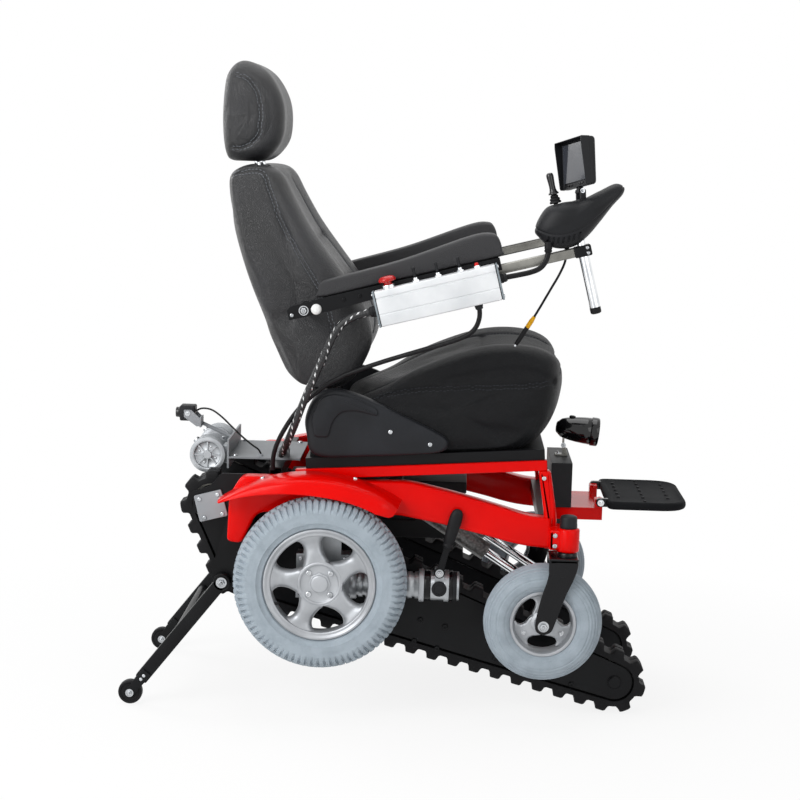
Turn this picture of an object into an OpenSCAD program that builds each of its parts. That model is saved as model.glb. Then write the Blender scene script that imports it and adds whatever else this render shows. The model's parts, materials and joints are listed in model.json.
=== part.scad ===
// Stair climbing all terrain wheelchair: captain seat on a four wheeled chassis with a lowered track unit.
// X points forward, Y to the left and Z up. Sizes below are measured from the drive axle and the floor,
// and from_axle() then moves everything so that the origin lies under the middle of the object.

/* [Drive wheels] */
// Height of the drive axle above the floor with the tracks down
axle_z = 300; // [290:1:330]
// Outside radius of the drive tyre
tyre_r = 184; // [170:1:190]
// Width of the drive tyre
tyre_w = 80; // [60:1:80]
// Distance from the middle of the chair to the middle of a drive tyre
wheel_y = 305; // [305:1:330]
// Radius of the rim seat under the tyre bead
rim_r = 117; // [105:1:125]
// Radius of the drive axle
axle_r = 10; // [8:0.5:14]
// Number of spokes in the drive rim
spokes = 5; // [3:1:8]

/* [Casters] */
// Outside radius of the caster tyre
caster_r = 125; // [105:1:128]
// Width of the caster tyre
caster_w = 70; // [50:1:72]
// Distance of the caster axle in front of the drive axle
caster_x = 470; // [460:1:480]
// Height of the caster axle
caster_z = 226; // [215:1:228]
// Distance of the swivel axis in front of the drive axle
swivel_x = 517; // [510:1:525]
// Distance from the middle of the chair to a caster
caster_y = 285; // [285:1:300]
// Radius of the caster stem
stem_r = 9; // [7:0.5:12]
// Radius of the caster housing
housing_r = 24; // [20:0.5:26]

/* [Tracks] */
// Radius of the track wheels
track_wheel_r = 42; // [36:1:46]
// Thickness of the rubber belt
belt_t = 12; // [8:0.5:14]
// Height of a tread lug
lug_h = 16; // [8:0.5:16]
// Width of a belt
belt_w = 60; // [50:1:64]
// Distance from the middle of the chair to the middle of a belt
track_y = 155; // [155:1:160]
// Number of lugs on a belt
lugs = 48; // [36:1:52]
// Radius of the sprocket shaft
shaft_r = 12; // [9:0.5:15]

/* [Rear arms] */
// Radius of the arm rollers
roller_r = 26; // [20:0.5:30]
// Thickness of a rear arm
arm_t = 20; // [14:0.5:22]
// Depth of the rear arm bar
arm_d = 28; // [22:0.5:32]

/* [Chassis] */
// Width of a side beam
beam_w = 44; // [36:1:46]
// Distance from the middle of the chair to the inner face of a side beam
beam_in = 213; // [210:1:214]
// Size of the square seat rails
rail_s = 22; // [18:0.5:24]
// Size of the square cross tubes
cross_s = 28; // [20:0.5:28]
// Sheet thickness of the fenders
fender_t = 3; // [2:0.5:4]
// Depth of the rolled fender lip
fender_lip = 42; // [20:0.5:44]

/* [Seat] */
// Half width of the seat cushion
seat_hw = 234; // [200:1:236]
// Half width of the back cushion
back_hw = 232; // [200:1:236]
// Half width of the headrest
head_hw = 130; // [90:1:150]
// Radius of the back frame tubes
frame_r = 12; // [9:0.5:14]
// Radius of the headrest posts
post_r = 6; // [4:0.5:8]
// Radius of the armrest pivot pins
pivot_r = 8; // [6:0.5:10]

/* [Armrest] */
// Length of an armrest pad
pad_l = 388; // [300:1:390]
// Width of an armrest pad
pad_w = 60; // [50:1:60]
// Thickness of the armrest bracket
bracket_t = 4; // [3:0.5:5]
// Upward slope of the armrests in degrees
arm_tilt = 14.5; // [10:0.5:16]
// Length of the control box
box_l = 262; // [220:1:264]
// Height of the control box
box_h = 74; // [60:1:76]
// Depth of the control box
box_d = 38; // [30:1:39]
// Radius of the chrome controller post
cpost_r = 11; // [8:0.5:12]
// Side of the square controller tube
tube_s = 20; // [16:0.5:22]

/* [Fits] */
// Running clearance of a pin in its bore
run = 0.05; // [0.03:0.01:0.1]
// Gap between a soft part and what carries it
soft_gap = 0.4; // [0.3:0.1:0.6]
// Gap between parts that are bolted face to face
seam = 0.3; // [0.2:0.1:0.5]

/* [Hidden] */
$fn = 48;

RED = "#d81414";
BLACK = "#222326";
STEEL = "#b9bcc0";
GREY = "#8d9196";
RUBBER = "#a9b4bd";
LEATHER = "#2b2c30";

// Places in the side view, from the drive axle and the floor
sprocket = [-246, 438];
rear_wheel = [-179, 290];
tread_r = track_wheel_r + belt_t + lug_h;
idler = [636, tread_r];
arm_pivot = [-216, 275];
roller = [-411, roller_r];
recline = [-8, 640];
arm_joint = [-46, 870];
anchor_chassis = [150, 458];
anchor_track = [500, 236];
foot_hinge = [596, 452];
foot_front = 783;
origin_x = (foot_front + roller[0] - roller_r) / 2;
rail_tilt = 3.9;
back_tilt = 17.5;

module from_axle() { translate([-origin_x, 0, 0]) children(); }
module left() { mirror([0, 1, 0]) children(); }
module both() { children(); mirror([0, 1, 0]) children(); }
// A plate drawn in the side view, from y to y + t
module side_plate(points, y, t) {
    translate([0, y + t, 0]) rotate([90, 0, 0]) linear_extrude(t) polygon(points);
}
// A round bar along Y from y to y + l
module y_bar(at, r, y, l) { translate([at[0], y, at[1]]) rotate([-90, 0, 0]) cylinder(r = r, h = l); }
// A round bar along X
module x_bar(p, r, l) { translate(p) rotate([0, 90, 0]) cylinder(r = r, h = l); }
module block(p, q) { translate(p) cube(q - p); }
// A solid turned about Y from a profile of [radius, y] points
module turned(at, profile, angle = 360, start = 0) {
    translate([at[0], 0, at[1]]) rotate([90, 0, 0]) rotate([0, 0, start])
        rotate_extrude(angle = angle, $fn = 72) polygon([for (p = profile) [p[0], -p[1]]]);
}
// Draws in the tilted plane of the armrest: x along it, z square to it, from the arm joint
module on_arm() { translate([arm_joint[0], 0, arm_joint[1]]) rotate([0, -arm_tilt, 0]) children(); }
function arm_point(u, w) = [arm_joint[0] + u * cos(arm_tilt) - w * sin(arm_tilt),
                            arm_joint[1] + u * sin(arm_tilt) + w * cos(arm_tilt)];

// Smooth closed curve through points, n steps from each to the next
function spline_at(a, b, c, d, t) = 0.5 * (2 * b + (c - a) * t + (2 * a - 5 * b + 4 * c - d) * t * t
    + (3 * b - a - 3 * c + d) * t * t * t);
function smooth(p, n) = let (m = len(p)) [for (i = [0 : m - 1], k = [0 : n - 1])
    spline_at(p[(i + m - 1) % m], p[i], p[(i + 1) % m], p[(i + 2) % m], k / n)];
// Smooth open curve through points
function smooth_open(p, n) = let (m = len(p)) concat([for (i = [0 : m - 2], k = [0 : n - 1])
    spline_at(p[max(i - 1, 0)], p[i], p[i + 1], p[min(i + 2, m - 1)], k / n)], [p[m - 1]]);
// Skin over a list of rings of points, closed by a fan at each end
module loft(rings) {
    n = len(rings[0]);
    m = len(rings);
    mid = function (r) [for (k = [0 : 2]) [for (p = r) p[k]] * [for (p = r) 1]] / n;
    points = concat([for (r = rings, p = r) p], [mid(rings[0]), mid(rings[m - 1])]);
    sides = [for (j = [0 : m - 2], i = [0 : n - 1]) let (a = j * n + i, b = j * n + (i + 1) % n)
        each [[a, a + n, b], [b, a + n, b + n]]];
    caps = [for (i = [0 : n - 1]) let (k = (i + 1) % n)
        each [[m * n, i, k], [m * n + 1, (m - 1) * n + k, (m - 1) * n + i]]];
    polyhedron(points, concat(sides, caps));
}
// Share of the full section left at a distance s (0 middle, 1 edge) where the round starts at k
function edge(s, k) = abs(s) <= k ? 1 : sqrt(max(0, 1 - pow((abs(s) - k) / (1 - k), 2)));
function unit(v) = v / norm(v);
// Tube of n sides along a route, with its ends square to the first and last directions
module tube_along(route, r, n, first, last) {
    m = len(route);
    dir = [for (i = [0 : m - 1]) i == 0 ? unit(first) : i == m - 1 ? unit(last)
        : unit(route[i + 1] - route[i - 1])];
    rings = [for (i = [0 : m - 1]) let (u = unit(cross(dir[i], [0.31, 0.9, 0.3])), v = cross(dir[i], u))
        [for (k = [0 : n - 1]) route[i] + r * (cos(360 * k / n) * u + sin(360 * k / n) * v)]];
    loft(rings);
}

// Closed line round the three track wheels, anticlockwise, at a distance r from their centres
track_centres = [rear_wheel, idler, sprocket];
function normal_of(k) = let (d = unit(track_centres[(k + 1) % 3] - track_centres[k])) [d[1], -d[0]];
function heading(v) = atan2(v[1], v[0]);
function turn_at(k) = let (a = heading(normal_of(k)) - heading(normal_of((k + 2) % 3))) a < 0 ? a + 360 : a;
function run_of(k) = norm(track_centres[(k + 1) % 3] - track_centres[k]);
function arc_of(k, r) = r * turn_at(k) * PI / 180;
function loop_length(r) = run_of(0) + run_of(1) + run_of(2) + 2 * PI * r;
// Point at a length s along the line of radius r, at a distance h outside that line
function loop_point(s, r, h, k = 0) = let (a = arc_of(k, r), w = run_of(k))
    s < a ? let (q = heading(normal_of((k + 2) % 3)) + s / r * 180 / PI)
        track_centres[k] + (r + h) * [cos(q), sin(q)]
    : s < a + w || k == 2 ? track_centres[k] + (r + h) * normal_of(k)
        + (s - a) * unit(track_centres[(k + 1) % 3] - track_centres[k])
    : loop_point(s - a - w, r, h, k + 1);
function loop_outline(r) = [for (k = [0 : 2]) let (q = heading(normal_of((k + 2) % 3)), steps = 20)
    for (i = [0 : steps]) track_centres[k] + r * [cos(q + turn_at(k) * i / steps), sin(q + turn_at(k)
        * i / steps)]];
lug_pitch = loop_length(track_wheel_r + belt_t) / lugs;
lug_foot = 0.68;
lug_top = 0.42;
function tread_outline() = let (r = track_wheel_r + belt_t) [for (i = [0 : lugs - 1])
    let (s = i * lug_pitch)
    each [loop_point(s, r, 0), loop_point(s + lug_pitch * (lug_foot - lug_top) / 2, r, lug_h),
          loop_point(s + lug_pitch * (lug_foot + lug_top) / 2, r, lug_h),
          loop_point(s + lug_pitch * lug_foot, r, 0)]];

// Chassis
beam_out = beam_in + beam_w;
rail_x0 = -60;
rail_l = 532;
rail_z0 = 505;
rail_in = beam_in + (beam_w - rail_s) / 2;
function rail_under(x) = rail_z0 + (x - rail_x0) * tan(rail_tilt);
beam_floor = 435;
beam_top = [[-200, 470], [-175, 512], [rail_x0 - 4, 512], [rail_x0 - 4, rail_z0 - seam], [165, 508],
    [246, 493], [331, 466], [437, 446], [483, 440]];
beam_low = [[483, 372], [376, 390], [248, 414], [163, beam_floor], [-140, beam_floor], [-172, 366],
    [-204, 370]];
strut = [[452, rail_under(452) - seam], [478, rail_under(478) - seam], [494, 445], [494, 374], [470, 374],
    [468, 440]];
housing_z = [378, 428];
cross_rear = [-120, 497];
cross_mid = [136, 480];
cross_front = [456, 414];

module side_beam() {
    beam = concat(beam_top, beam_low);
    difference() {
        union() {
            side_plate(beam, -beam_out, beam_w);
            side_plate(strut, -beam_out, beam_w);
            translate([swivel_x, -caster_y, housing_z[0]])
                cylinder(r = housing_r, h = housing_z[1] - housing_z[0]);
            block([480, -caster_y, housing_z[0] + 4], [swivel_x, -beam_in, housing_z[1] - 4]);
        }
        translate([swivel_x, -caster_y, housing_z[0] - 1])
            cylinder(r = stem_r + run, h = housing_z[1] - housing_z[0] + 2);
    }
}
beam_gland = [-110, -beam_in - 23, 524];
module side_beam_right() color(RED) from_axle() union() {
    side_beam();
    translate([beam_gland[0], beam_gland[1], beam_top[1][1] - 1])
        cylinder(r = 8, h = beam_gland[2] - beam_top[1][1] + 1);
}
module side_beam_left() color(RED) from_axle() left() side_beam();
tube_wall = 3;
// A square tube across the chair between two side faces
module cross_tube(p, half) {
    difference() {
        block([p[0], -half, p[1]], [p[0] + cross_s, half, p[1] + cross_s]);
        block([p[0] + tube_wall, -half - 1, p[1] + tube_wall],
              [p[0] + cross_s - tube_wall, half + 1, p[1] + cross_s - tube_wall]);
    }
}
actuator_y = 95;
lug_t = 6;
eye_w = 24;
pin_r = 6;
// Two lug plates of an actuator joint, with or without the bore for its pin
module lugs_at(at, plate, hole) {
    for (s = [-1, 1]) difference() {
        side_plate(plate, -actuator_y + s * (eye_w / 2 + seam + lug_t / 2) - lug_t / 2, lug_t);
        if (hole) y_bar(at, pin_r + run, -actuator_y - 40, 80);
    }
}
module cross_frame() color(BLACK) from_axle() {
    for (p = [cross_rear, cross_front]) cross_tube(p, beam_in);
    a = anchor_chassis;
    union() {
        cross_tube(cross_mid, beam_in);
        both() lugs_at(a, [a + [-13, -12], a + [13, -12], a + [13, cross_mid[1] - a[1]],
            a + [-13, cross_mid[1] - a[1]]], true);
    }
}
module seat_rails() color(RED) from_axle() both()
    translate([rail_x0, -rail_in - rail_s, rail_z0]) rotate([0, -rail_tilt, 0]) difference() {
        cube([rail_l, rail_s, rail_s]);
        translate([-1, 2, 2]) cube([rail_l + 2, rail_s - 4, rail_s - 4]);
    }

fender_c = [-22, axle_z - 117];
// Clearance between the tyre and the top of the fender where they are nearest
fender_gap = 42;
fender_r = norm([0, axle_z] - fender_c) + tyre_r + fender_gap;
fender_y = wheel_y + 0.4 * tyre_w;
fender_span = [57, 125];
// Depth of the lip at an angle: full in front, narrowing to a point at the rear
function lip_at(a) = let (t = (a - fender_span[0]) / (fender_span[1] - fender_span[0]))
    fender_lip * (1 - 0.92 * pow(max(0, (t - 0.35) / 0.65), 1.8)) * (0.5 + 0.5 * min(1, t / 0.08));
module fender() difference() {
    turned(fender_c, [[fender_r, -fender_y], [fender_r, -beam_out - seam],
        [fender_r - fender_t, -beam_out - seam], [fender_r - fender_t, -fender_y + fender_t],
        [fender_r - fender_lip, -fender_y + fender_t], [fender_r - fender_lip, -fender_y]],
        fender_span[1] - fender_span[0], fender_span[0]);
    side_plate(concat([fender_c], [for (a = [fender_span[0] - 1 : 2 : fender_span[1] + 1])
        fender_c + (fender_r - lip_at(a)) * [cos(a), sin(a)]]), -fender_y - 1, fender_t + 2);
}
module fenders() color(RED) from_axle() both() fender();

battery = [[-88, -68, 352], [300, 68, cross_mid[1] - seam]];
module battery_box() color(BLACK) from_axle() {
    lid = 24;
    difference() {
        union() {
            block(battery[0], battery[1] - [0, 0, lid]);
            block(battery[0] + [-3, -3, battery[1][2] - battery[0][2] - lid], battery[1] + [3, 3, 0]);
        }
        both() block([20, battery[0][1] - 1, battery[0][2] + 40],
            [190, battery[0][1] + 3, battery[0][2] + 80]);
    }
}

gearbox = [[-55, -beam_out + 4, 252], [58, -beam_out + 52, 348]];
motor_r = 29;
motor_p = [58, -beam_out + 30, 282];
motor_l = 150;
cap_l = 84;
fins = 9;
lever_pin = [250, 318];
lever_pin_y = -beam_out - 3;
module gearmotor() {
    union() {
        block(gearbox[0], gearbox[1]);
        block([-40, gearbox[0][1], gearbox[1][2]], [40, gearbox[0][1] + 8, beam_floor - seam]);
        y_bar([0, axle_z], axle_r, -wheel_y - 18, wheel_y + 18 + gearbox[0][1]);
        y_bar([0, axle_z], 22, gearbox[0][1] - 4, 4);
    }
    difference() {
        x_bar(motor_p, motor_r, motor_l);
        for (i = [0 : fins - 1]) translate([motor_p[0] + 14 + i * 15, motor_p[1], motor_p[2]])
            rotate([0, 90, 0])
            difference() {
                cylinder(r = motor_r + 2, h = 6);
                translate([0, 0, -1]) cylinder(r = motor_r - 3, h = 8);
            }
    }
    union() {
        x_bar(motor_p + [motor_l, 0, 0], motor_r + 2, cap_l);
        x_bar(motor_p + [motor_l + 52, 0, 0], motor_r + 5, 10);
        y_bar([lever_pin[0], motor_p[2]], 14, lever_pin_y + 4, motor_p[1] - lever_pin_y - 4);
        block([lever_pin[0] - 10, motor_p[1] - 30, motor_p[2]],
            [lever_pin[0] + 10, motor_p[1] - 10, lever_pin[1] + 8]);
        y_bar(lever_pin, 5, lever_pin_y - 9, motor_p[1] - 20 - lever_pin_y + 9);
    }
}
module gearmotors() color(STEEL) from_axle() both() gearmotor();
lever_top = [284, 448];
module freewheel_lever() {
    slope = atan2(lever_top[0] - lever_pin[0], lever_top[1] - lever_pin[1]);
    reach = norm(lever_top - lever_pin);
    translate([lever_pin[0], 0, lever_pin[1]]) rotate([0, slope, 0]) difference() {
        union() {
            y_bar([0, 0], 11, lever_pin_y - 8, 8);
            block([-7, lever_pin_y - 8, 0], [7, lever_pin_y - 2, reach * 0.5]);
            translate([0, lever_pin_y - 9, reach * 0.42]) cylinder(r = 9, h = reach * 0.58);
            translate([0, lever_pin_y - 9, reach]) sphere(r = 9);
        }
        y_bar([0, 0], 5 + run, lever_pin_y - 30, 60);
    }
}
module freewheel_lever_right() color(BLACK) from_axle() freewheel_lever();
module freewheel_lever_left() color(BLACK) from_axle() left() freewheel_lever();

deck_z = cross_rear[1] + cross_s;
deck_t = 4;
deck_x = [-222, -62];
deck_hw = 118;
flange_top = 566;
stalk_y = -50;
camera_at = [-316, 614];
gland_r = 13;
// Where the power sleeve and the camera cord enter the deck, and the feed cable the right beam
deck_gland = [-100, -118, deck_z + deck_t + gland_r];
camera_gland = [-150, -96, deck_z + deck_t + 4];
module rear_deck() color(GREY) from_axle() union() {
    block([deck_x[0], -deck_hw, deck_z], [deck_x[1], deck_hw, deck_z + deck_t]);
    block([deck_x[0], -deck_hw, deck_z - 22], [deck_x[0] + deck_t, deck_hw, flange_top]);
    translate([deck_x[0] + 2, stalk_y, flange_top - 4]) rotate([0, -66, 0]) cylinder(r = 4, h = 75);
    block([deck_gland[0] - gland_r, deck_gland[1], deck_z],
        [deck_gland[0] + gland_r, deck_gland[1] + 30, deck_gland[2]]);
    y_bar([deck_gland[0], deck_gland[2]], gland_r, deck_gland[1], 30);
    translate([camera_gland[0], camera_gland[1], deck_z]) cylinder(r = 5, h = camera_gland[2] - deck_z);
    block([camera_at[0] + 27, stalk_y - 22, 584], [camera_at[0] + 30, stalk_y + 22, 606]);
    for (s = [-1, 1]) translate([0, stalk_y + s * 20, 0]) side_plate([[-289, 586], [-296, 586],
        [-324, 606], [-324, 622],
        [-308, 622], [-289, 604]], -1.5, 3);
    y_bar(camera_at, 3, stalk_y - 22, 44);
}
motor_c = [-266, 530];
track_motor_r = 36;
module track_motors() color(STEEL) from_axle() both() union() {
    y_bar(motor_c, track_motor_r, -112, 62);
    y_bar(motor_c, track_motor_r - 5, -50, 32);
    for (i = [0 : 5]) y_bar(motor_c, track_motor_r + 3, -108 + i * 10, 4);
    block([motor_c[0], -92, motor_c[1] - 20], [deck_x[0] - seam, -52, motor_c[1] + 20]);
}

plate_t = 6;
spacer = 3;
bracket_outline = [[-222, 508], [-150, 508], [-150, 330], [-182, 254], [-236, 254], [-240, 300],
    [-206, 420], [-282, 420],
    [-284, 466], [-246, 480]];
module arm_brackets() color(BLACK) from_axle() both() difference() {
    union() {
        side_plate(bracket_outline, -beam_in, plate_t);
        y_bar(arm_pivot, 16, -beam_in - spacer, spacer);
        y_bar(arm_pivot, pin_r, -beam_in - spacer - arm_t - 6, arm_t + 8);
    }
    y_bar(sprocket, shaft_r + run, -beam_in - 1, plate_t + 2);
}

panel = [[486, -110, 438], [532, 110, 536]];
module front_panel() color(BLACK) from_axle() {
    difference() {
        block(panel[0], panel[1]);
        for (i = [0 : 5]) block([panel[1][0] - 3, -90, panel[0][2] + 14 + i * 13],
            [panel[1][0] + 1, 90, panel[0][2] + 19 + i * 13]);
    }
    both() block([cross_front[0] + cross_s - 8, -100, cross_front[1] + cross_s], [panel[0][0],
        -80, panel[0][2] + 40]);
}
lamp_c = [542, 600];
lamp_l = 96;
lamp_strap = [498, 514];
module headlight() color(BLACK) from_axle() union() {
    translate([lamp_c[0] - 44, 0, lamp_c[1]]) rotate([0, 96, 0]) rotate_extrude($fn = 40)
        polygon([[0, 0], [14, 0], [22, 10], [30, 60], [32, 92], [29, lamp_l], [0, lamp_l]]);
    block([lamp_strap[0], -12, panel[1][2] + seam], [lamp_strap[1] + 12, 12, panel[1][2] + 4]);
    block([lamp_strap[1], -9, panel[1][2] + 2], [lamp_strap[1] + 4, 9, lamp_c[1] - 10]);
}
foot_hw = 150;
foot_t = 18;
foot_arm_y = 104;
foot_x0 = cross_front[0] + cross_s + seam;
foot_arm_top = panel[0][2] - seam;
foot_arm_floor = foot_arm_top - 26.7;
foot_arm_w = 26;
foot_pin_r = 5;
module footrest_arm() color(RED) from_axle() union() {
    arm_in = -foot_arm_y + 4;
    both() block([foot_x0, arm_in, foot_arm_floor],
        [foot_hinge[0] + foot_pin_r, arm_in + foot_arm_w, foot_arm_top]);
    block([panel[1][0], arm_in, foot_arm_floor], [foot_hinge[0] - 10, -arm_in, foot_arm_top]);
    both() y_bar(foot_hinge, foot_pin_r, -foot_arm_y - 12, 50);
    both() block([foot_hinge[0] - 12, arm_in, foot_hinge[1] - 20],
                 [foot_hinge[0] + foot_pin_r, arm_in + foot_arm_w, foot_hinge[1] + foot_pin_r]);
}
foot_corner = 46;
foot_hub_r = 10;
stud_x0 = 40;
stud_pitch = [54, 42];
// Studs either side of the middle one in each column
stud_rows = [2, 3, 2];
module footplate() color(BLACK) from_axle() {
    hub_y = -foot_arm_y - 11;
    difference() {
        union() {
            translate([0, 0, foot_hinge[1] - foot_t / 2]) linear_extrude(foot_t) hull() {
                translate([foot_hinge[0] + 12, -foot_hw]) square([60, 2 * foot_hw]);
                for (s = [-1, 1]) translate([foot_front - foot_corner, s * (foot_hw - foot_corner)])
                    circle(r = foot_corner, $fn = 32);
            }
            both() y_bar(foot_hinge, foot_hub_r, hub_y, 14);
            both() block([foot_hinge[0], hub_y, foot_hinge[1] - foot_t / 2],
                         [foot_hinge[0] + 20, hub_y + 14, foot_hinge[1] + foot_t / 2]);
            for (i = [0 : 2], j = [-stud_rows[i] : stud_rows[i]])
                translate([foot_hinge[0] + stud_x0 + i * stud_pitch[0], j * stud_pitch[1],
                    foot_hinge[1] + foot_t / 2 - 1]) cylinder(r = 3.5, h = 3, $fn = 24);
        }
        both() y_bar(foot_hinge, foot_pin_r + run, -foot_arm_y - 30, 60);
    }
}

// Wheels
// Section of a tyre about the plane y, open towards the rim
function tyre_section(r, bead, w, y) = let (h = (r - bead) / 1.766) concat(
    [for (a = [-140 : 20 : 140]) [r - h + h * cos(a), y + w / 2 * sin(a)]]);
module drive_tyre() turned([0, axle_z], tyre_section(tyre_r, rim_r, tyre_w, -wheel_y));
module drive_tyre_right() color(RUBBER) from_axle() drive_tyre();
module drive_tyre_left() color(RUBBER) from_axle() left() drive_tyre();
rim_half = 0.32 * tyre_w;
hub_r = 46;
spoke_r = 12;
module drive_rim() difference() {
    union() {
        turned([0, axle_z], [[rim_r - 9, -wheel_y - rim_half], [rim_r - seam, -wheel_y - rim_half],
            [rim_r - seam, -wheel_y + rim_half], [rim_r - 9, -wheel_y + rim_half]]);
        y_bar([0, axle_z], hub_r, -wheel_y - 20, 14);
        y_bar([0, axle_z], 24, -wheel_y - 26, wheel_y - beam_out + 22);
        for (i = [0 : spokes - 1]) translate([0, -wheel_y - 20, axle_z])
            rotate([0, 12 - i * 360 / spokes, 0])
            side_plate([[-20, hub_r - 8], [20, hub_r - 8], [13, 75], [22, rim_r - 4], [-22, rim_r - 4],
                [-13, 75]],
                0, 12);
        for (i = [0 : 3]) rotate_at([0, axle_z], 45 + 90 * i) y_bar([33, axle_z], 7, -wheel_y - 26, 8);
    }
    y_bar([0, axle_z], axle_r + run, -wheel_y - 20, 2 * wheel_y);
}
// Turns about a line along Y through a point of the side view
module rotate_at(at, angle) translate([at[0], 0, at[1]]) rotate([0, -angle, 0]) translate([-at[0],
    0, -at[1]]) children();
module drive_rim_right() color(STEEL) from_axle() drive_rim();
module drive_rim_left() color(STEEL) from_axle() left() drive_rim();

caster_axle_r = 6;
caster_bead = 68;
fork_in = caster_w / 2 + 5;
fork_t = 6;
crown_z = [caster_z + caster_r + 7, housing_z[0] - 8];
module caster_fork() union() {
    translate([swivel_x, -caster_y, crown_z[0]]) cylinder(r = stem_r, h = housing_z[1] - crown_z[0] + 4);
    translate([swivel_x, -caster_y, crown_z[0]])
        cylinder(r = housing_r - 3, h = housing_z[0] - crown_z[0] - seam);
    translate([swivel_x, -caster_y, housing_z[1] + seam]) cylinder(r = housing_r - 6, h = 27);
    block([swivel_x - 40, -caster_y - fork_in - fork_t, crown_z[0]],
          [swivel_x + 22, -caster_y + fork_in + fork_t, crown_z[1]]);
    for (y = [-caster_y - fork_in - fork_t, -caster_y + fork_in]) {
        side_plate([[swivel_x - 40, crown_z[1]], [swivel_x + 22, crown_z[1]],
            [swivel_x + 16, crown_z[0] - 26],
            [caster_x + 24, caster_z + 4], [caster_x + 12, caster_z - 16], [caster_x - 12, caster_z - 16],
            [caster_x - 16, caster_z + 6], [swivel_x - 34, crown_z[0] - 22]], y, fork_t);
        y_bar([caster_x, caster_z], 12, y - 2, fork_t + 4);
    }
    y_bar([caster_x, caster_z], caster_axle_r, -caster_y - fork_in - fork_t - 4, 2 * (fork_in + fork_t + 4));
}
module caster_fork_right() color(BLACK) from_axle() caster_fork();
module caster_fork_left() color(BLACK) from_axle() left() caster_fork();
module caster_wheel() {
    turned([caster_x, caster_z], tyre_section(caster_r, caster_bead, caster_w, -caster_y));
    difference() {
        union() {
            turned([caster_x, caster_z], [[caster_bead - 8, -caster_y - 0.3 * caster_w],
                [caster_bead - seam, -caster_y - 0.32 * caster_w],
                    [caster_bead - seam, -caster_y + 0.32 * caster_w],
                [caster_bead - 8, -caster_y + 0.3 * caster_w]]);
            y_bar([caster_x, caster_z], caster_bead - 4, -caster_y - 6, 12);
            y_bar([caster_x, caster_z], 18, -caster_y - fork_in + 2.5, 2 * fork_in - 5);
        }
        for (i = [0 : 2]) rotate_at([caster_x, caster_z], 30 + 120 * i)
            y_bar([caster_x + 40, caster_z], 14, -caster_y - 20, 40);
        y_bar([caster_x, caster_z], caster_axle_r + run, -caster_y - 60, 120);
    }
}
module caster_wheel_right() color(RUBBER) from_axle() caster_wheel();
module caster_wheel_left() color(RUBBER) from_axle() left() caster_wheel();

// Track unit
plate_gap = 4;
side_t = 4;
wheel_half = 20;
track_in = track_y - wheel_half - 2;
track_out = track_y + wheel_half + 2;
bar_l = track_out - track_in + 2;
idler_pin_r = 8;
frame_tube = [470, 126];
frame_tube_r = 18;
module track_frame() color(BLACK) from_axle() union() {
    both() {
        for (y = [-track_out - side_t, -track_in]) difference() {
            side_plate(loop_outline(track_wheel_r - plate_gap), y, side_t);
            y_bar(sprocket, shaft_r + run, y - 1, side_t + 2);
        }
        y_bar(idler, idler_pin_r, -track_out - 1, bar_l);
        y_bar(rear_wheel, track_wheel_r - 2 * plate_gap, -track_out - 1, bar_l);
        for (k = [0.3, 0.55, 0.8]) let (p = rear_wheel + (idler - rear_wheel) * k)
            y_bar(p + [10, 20], 12, -track_out - 1, bar_l);
        lugs_at(anchor_track, [anchor_track + [-14, 14], anchor_track + [14, 14], frame_tube + [14, 6],
            frame_tube + [-14, 6]], false);
    }
    y_bar(frame_tube, frame_tube_r, -track_in, 2 * track_in);
}
module track_belts() color("#26272a") from_axle() both() difference() {
    side_plate(tread_outline(), -track_y - belt_w / 2, belt_w);
    side_plate(loop_outline(track_wheel_r), -track_y - belt_w / 2 - 1, belt_w + 2);
}
shaft_end = beam_in - 1;
module track_sprockets() color(STEEL) from_axle() union() {
    y_bar(sprocket, shaft_r, -shaft_end, 2 * shaft_end);
    both() y_bar(sprocket, track_wheel_r - seam, -track_y - wheel_half, 2 * wheel_half);
}
module front_idlers() color(STEEL) from_axle() both() difference() {
    y_bar(idler, track_wheel_r - seam, -track_y - wheel_half, 2 * wheel_half);
    y_bar(idler, idler_pin_r + run, -track_y - wheel_half - 1, 2 * wheel_half + 2);
}
act_l = norm(anchor_track - anchor_chassis);
act_slope = atan2(anchor_chassis[1] - anchor_track[1], anchor_track[0] - anchor_chassis[0]);
act_r = 20;
rod_r = 10;
act_body = [18, 236];
// Draws along an actuator: x from its chassis pin towards its track pin
module on_actuator() translate([anchor_chassis[0], -actuator_y, anchor_chassis[1]])
    rotate([0, act_slope, 0]) children();
module actuator_tubes() color(BLACK) from_axle() both() on_actuator() difference() {
    union() {
        y_bar([0, 0], 12, -eye_w / 2, eye_w);
        y_bar([0, 0], pin_r, -eye_w / 2 - lug_t - 2, eye_w + 2 * lug_t + 4);
        block([0, -8, -8], [act_body[0] + 4, 8, 8]);
        x_bar([act_body[0], 0, 0], act_r, act_body[1] - act_body[0]);
    }
    x_bar([40, 0, 0], rod_r + run, act_body[1]);
}
module actuator_rods() color(STEEL) from_axle() both() on_actuator() union() {
    x_bar([110, 0, 0], rod_r, act_l - 116);
    y_bar([act_l, 0], 12, -eye_w / 2, eye_w);
}

// Rear arms
arm_l = norm(roller - arm_pivot);
arm_slope = atan2(roller[0] - arm_pivot[0], arm_pivot[1] - roller[1]);
arm_y = beam_in + spacer + arm_t / 2;
roller_w = arm_t;
fork_gap = 0.6;
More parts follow.
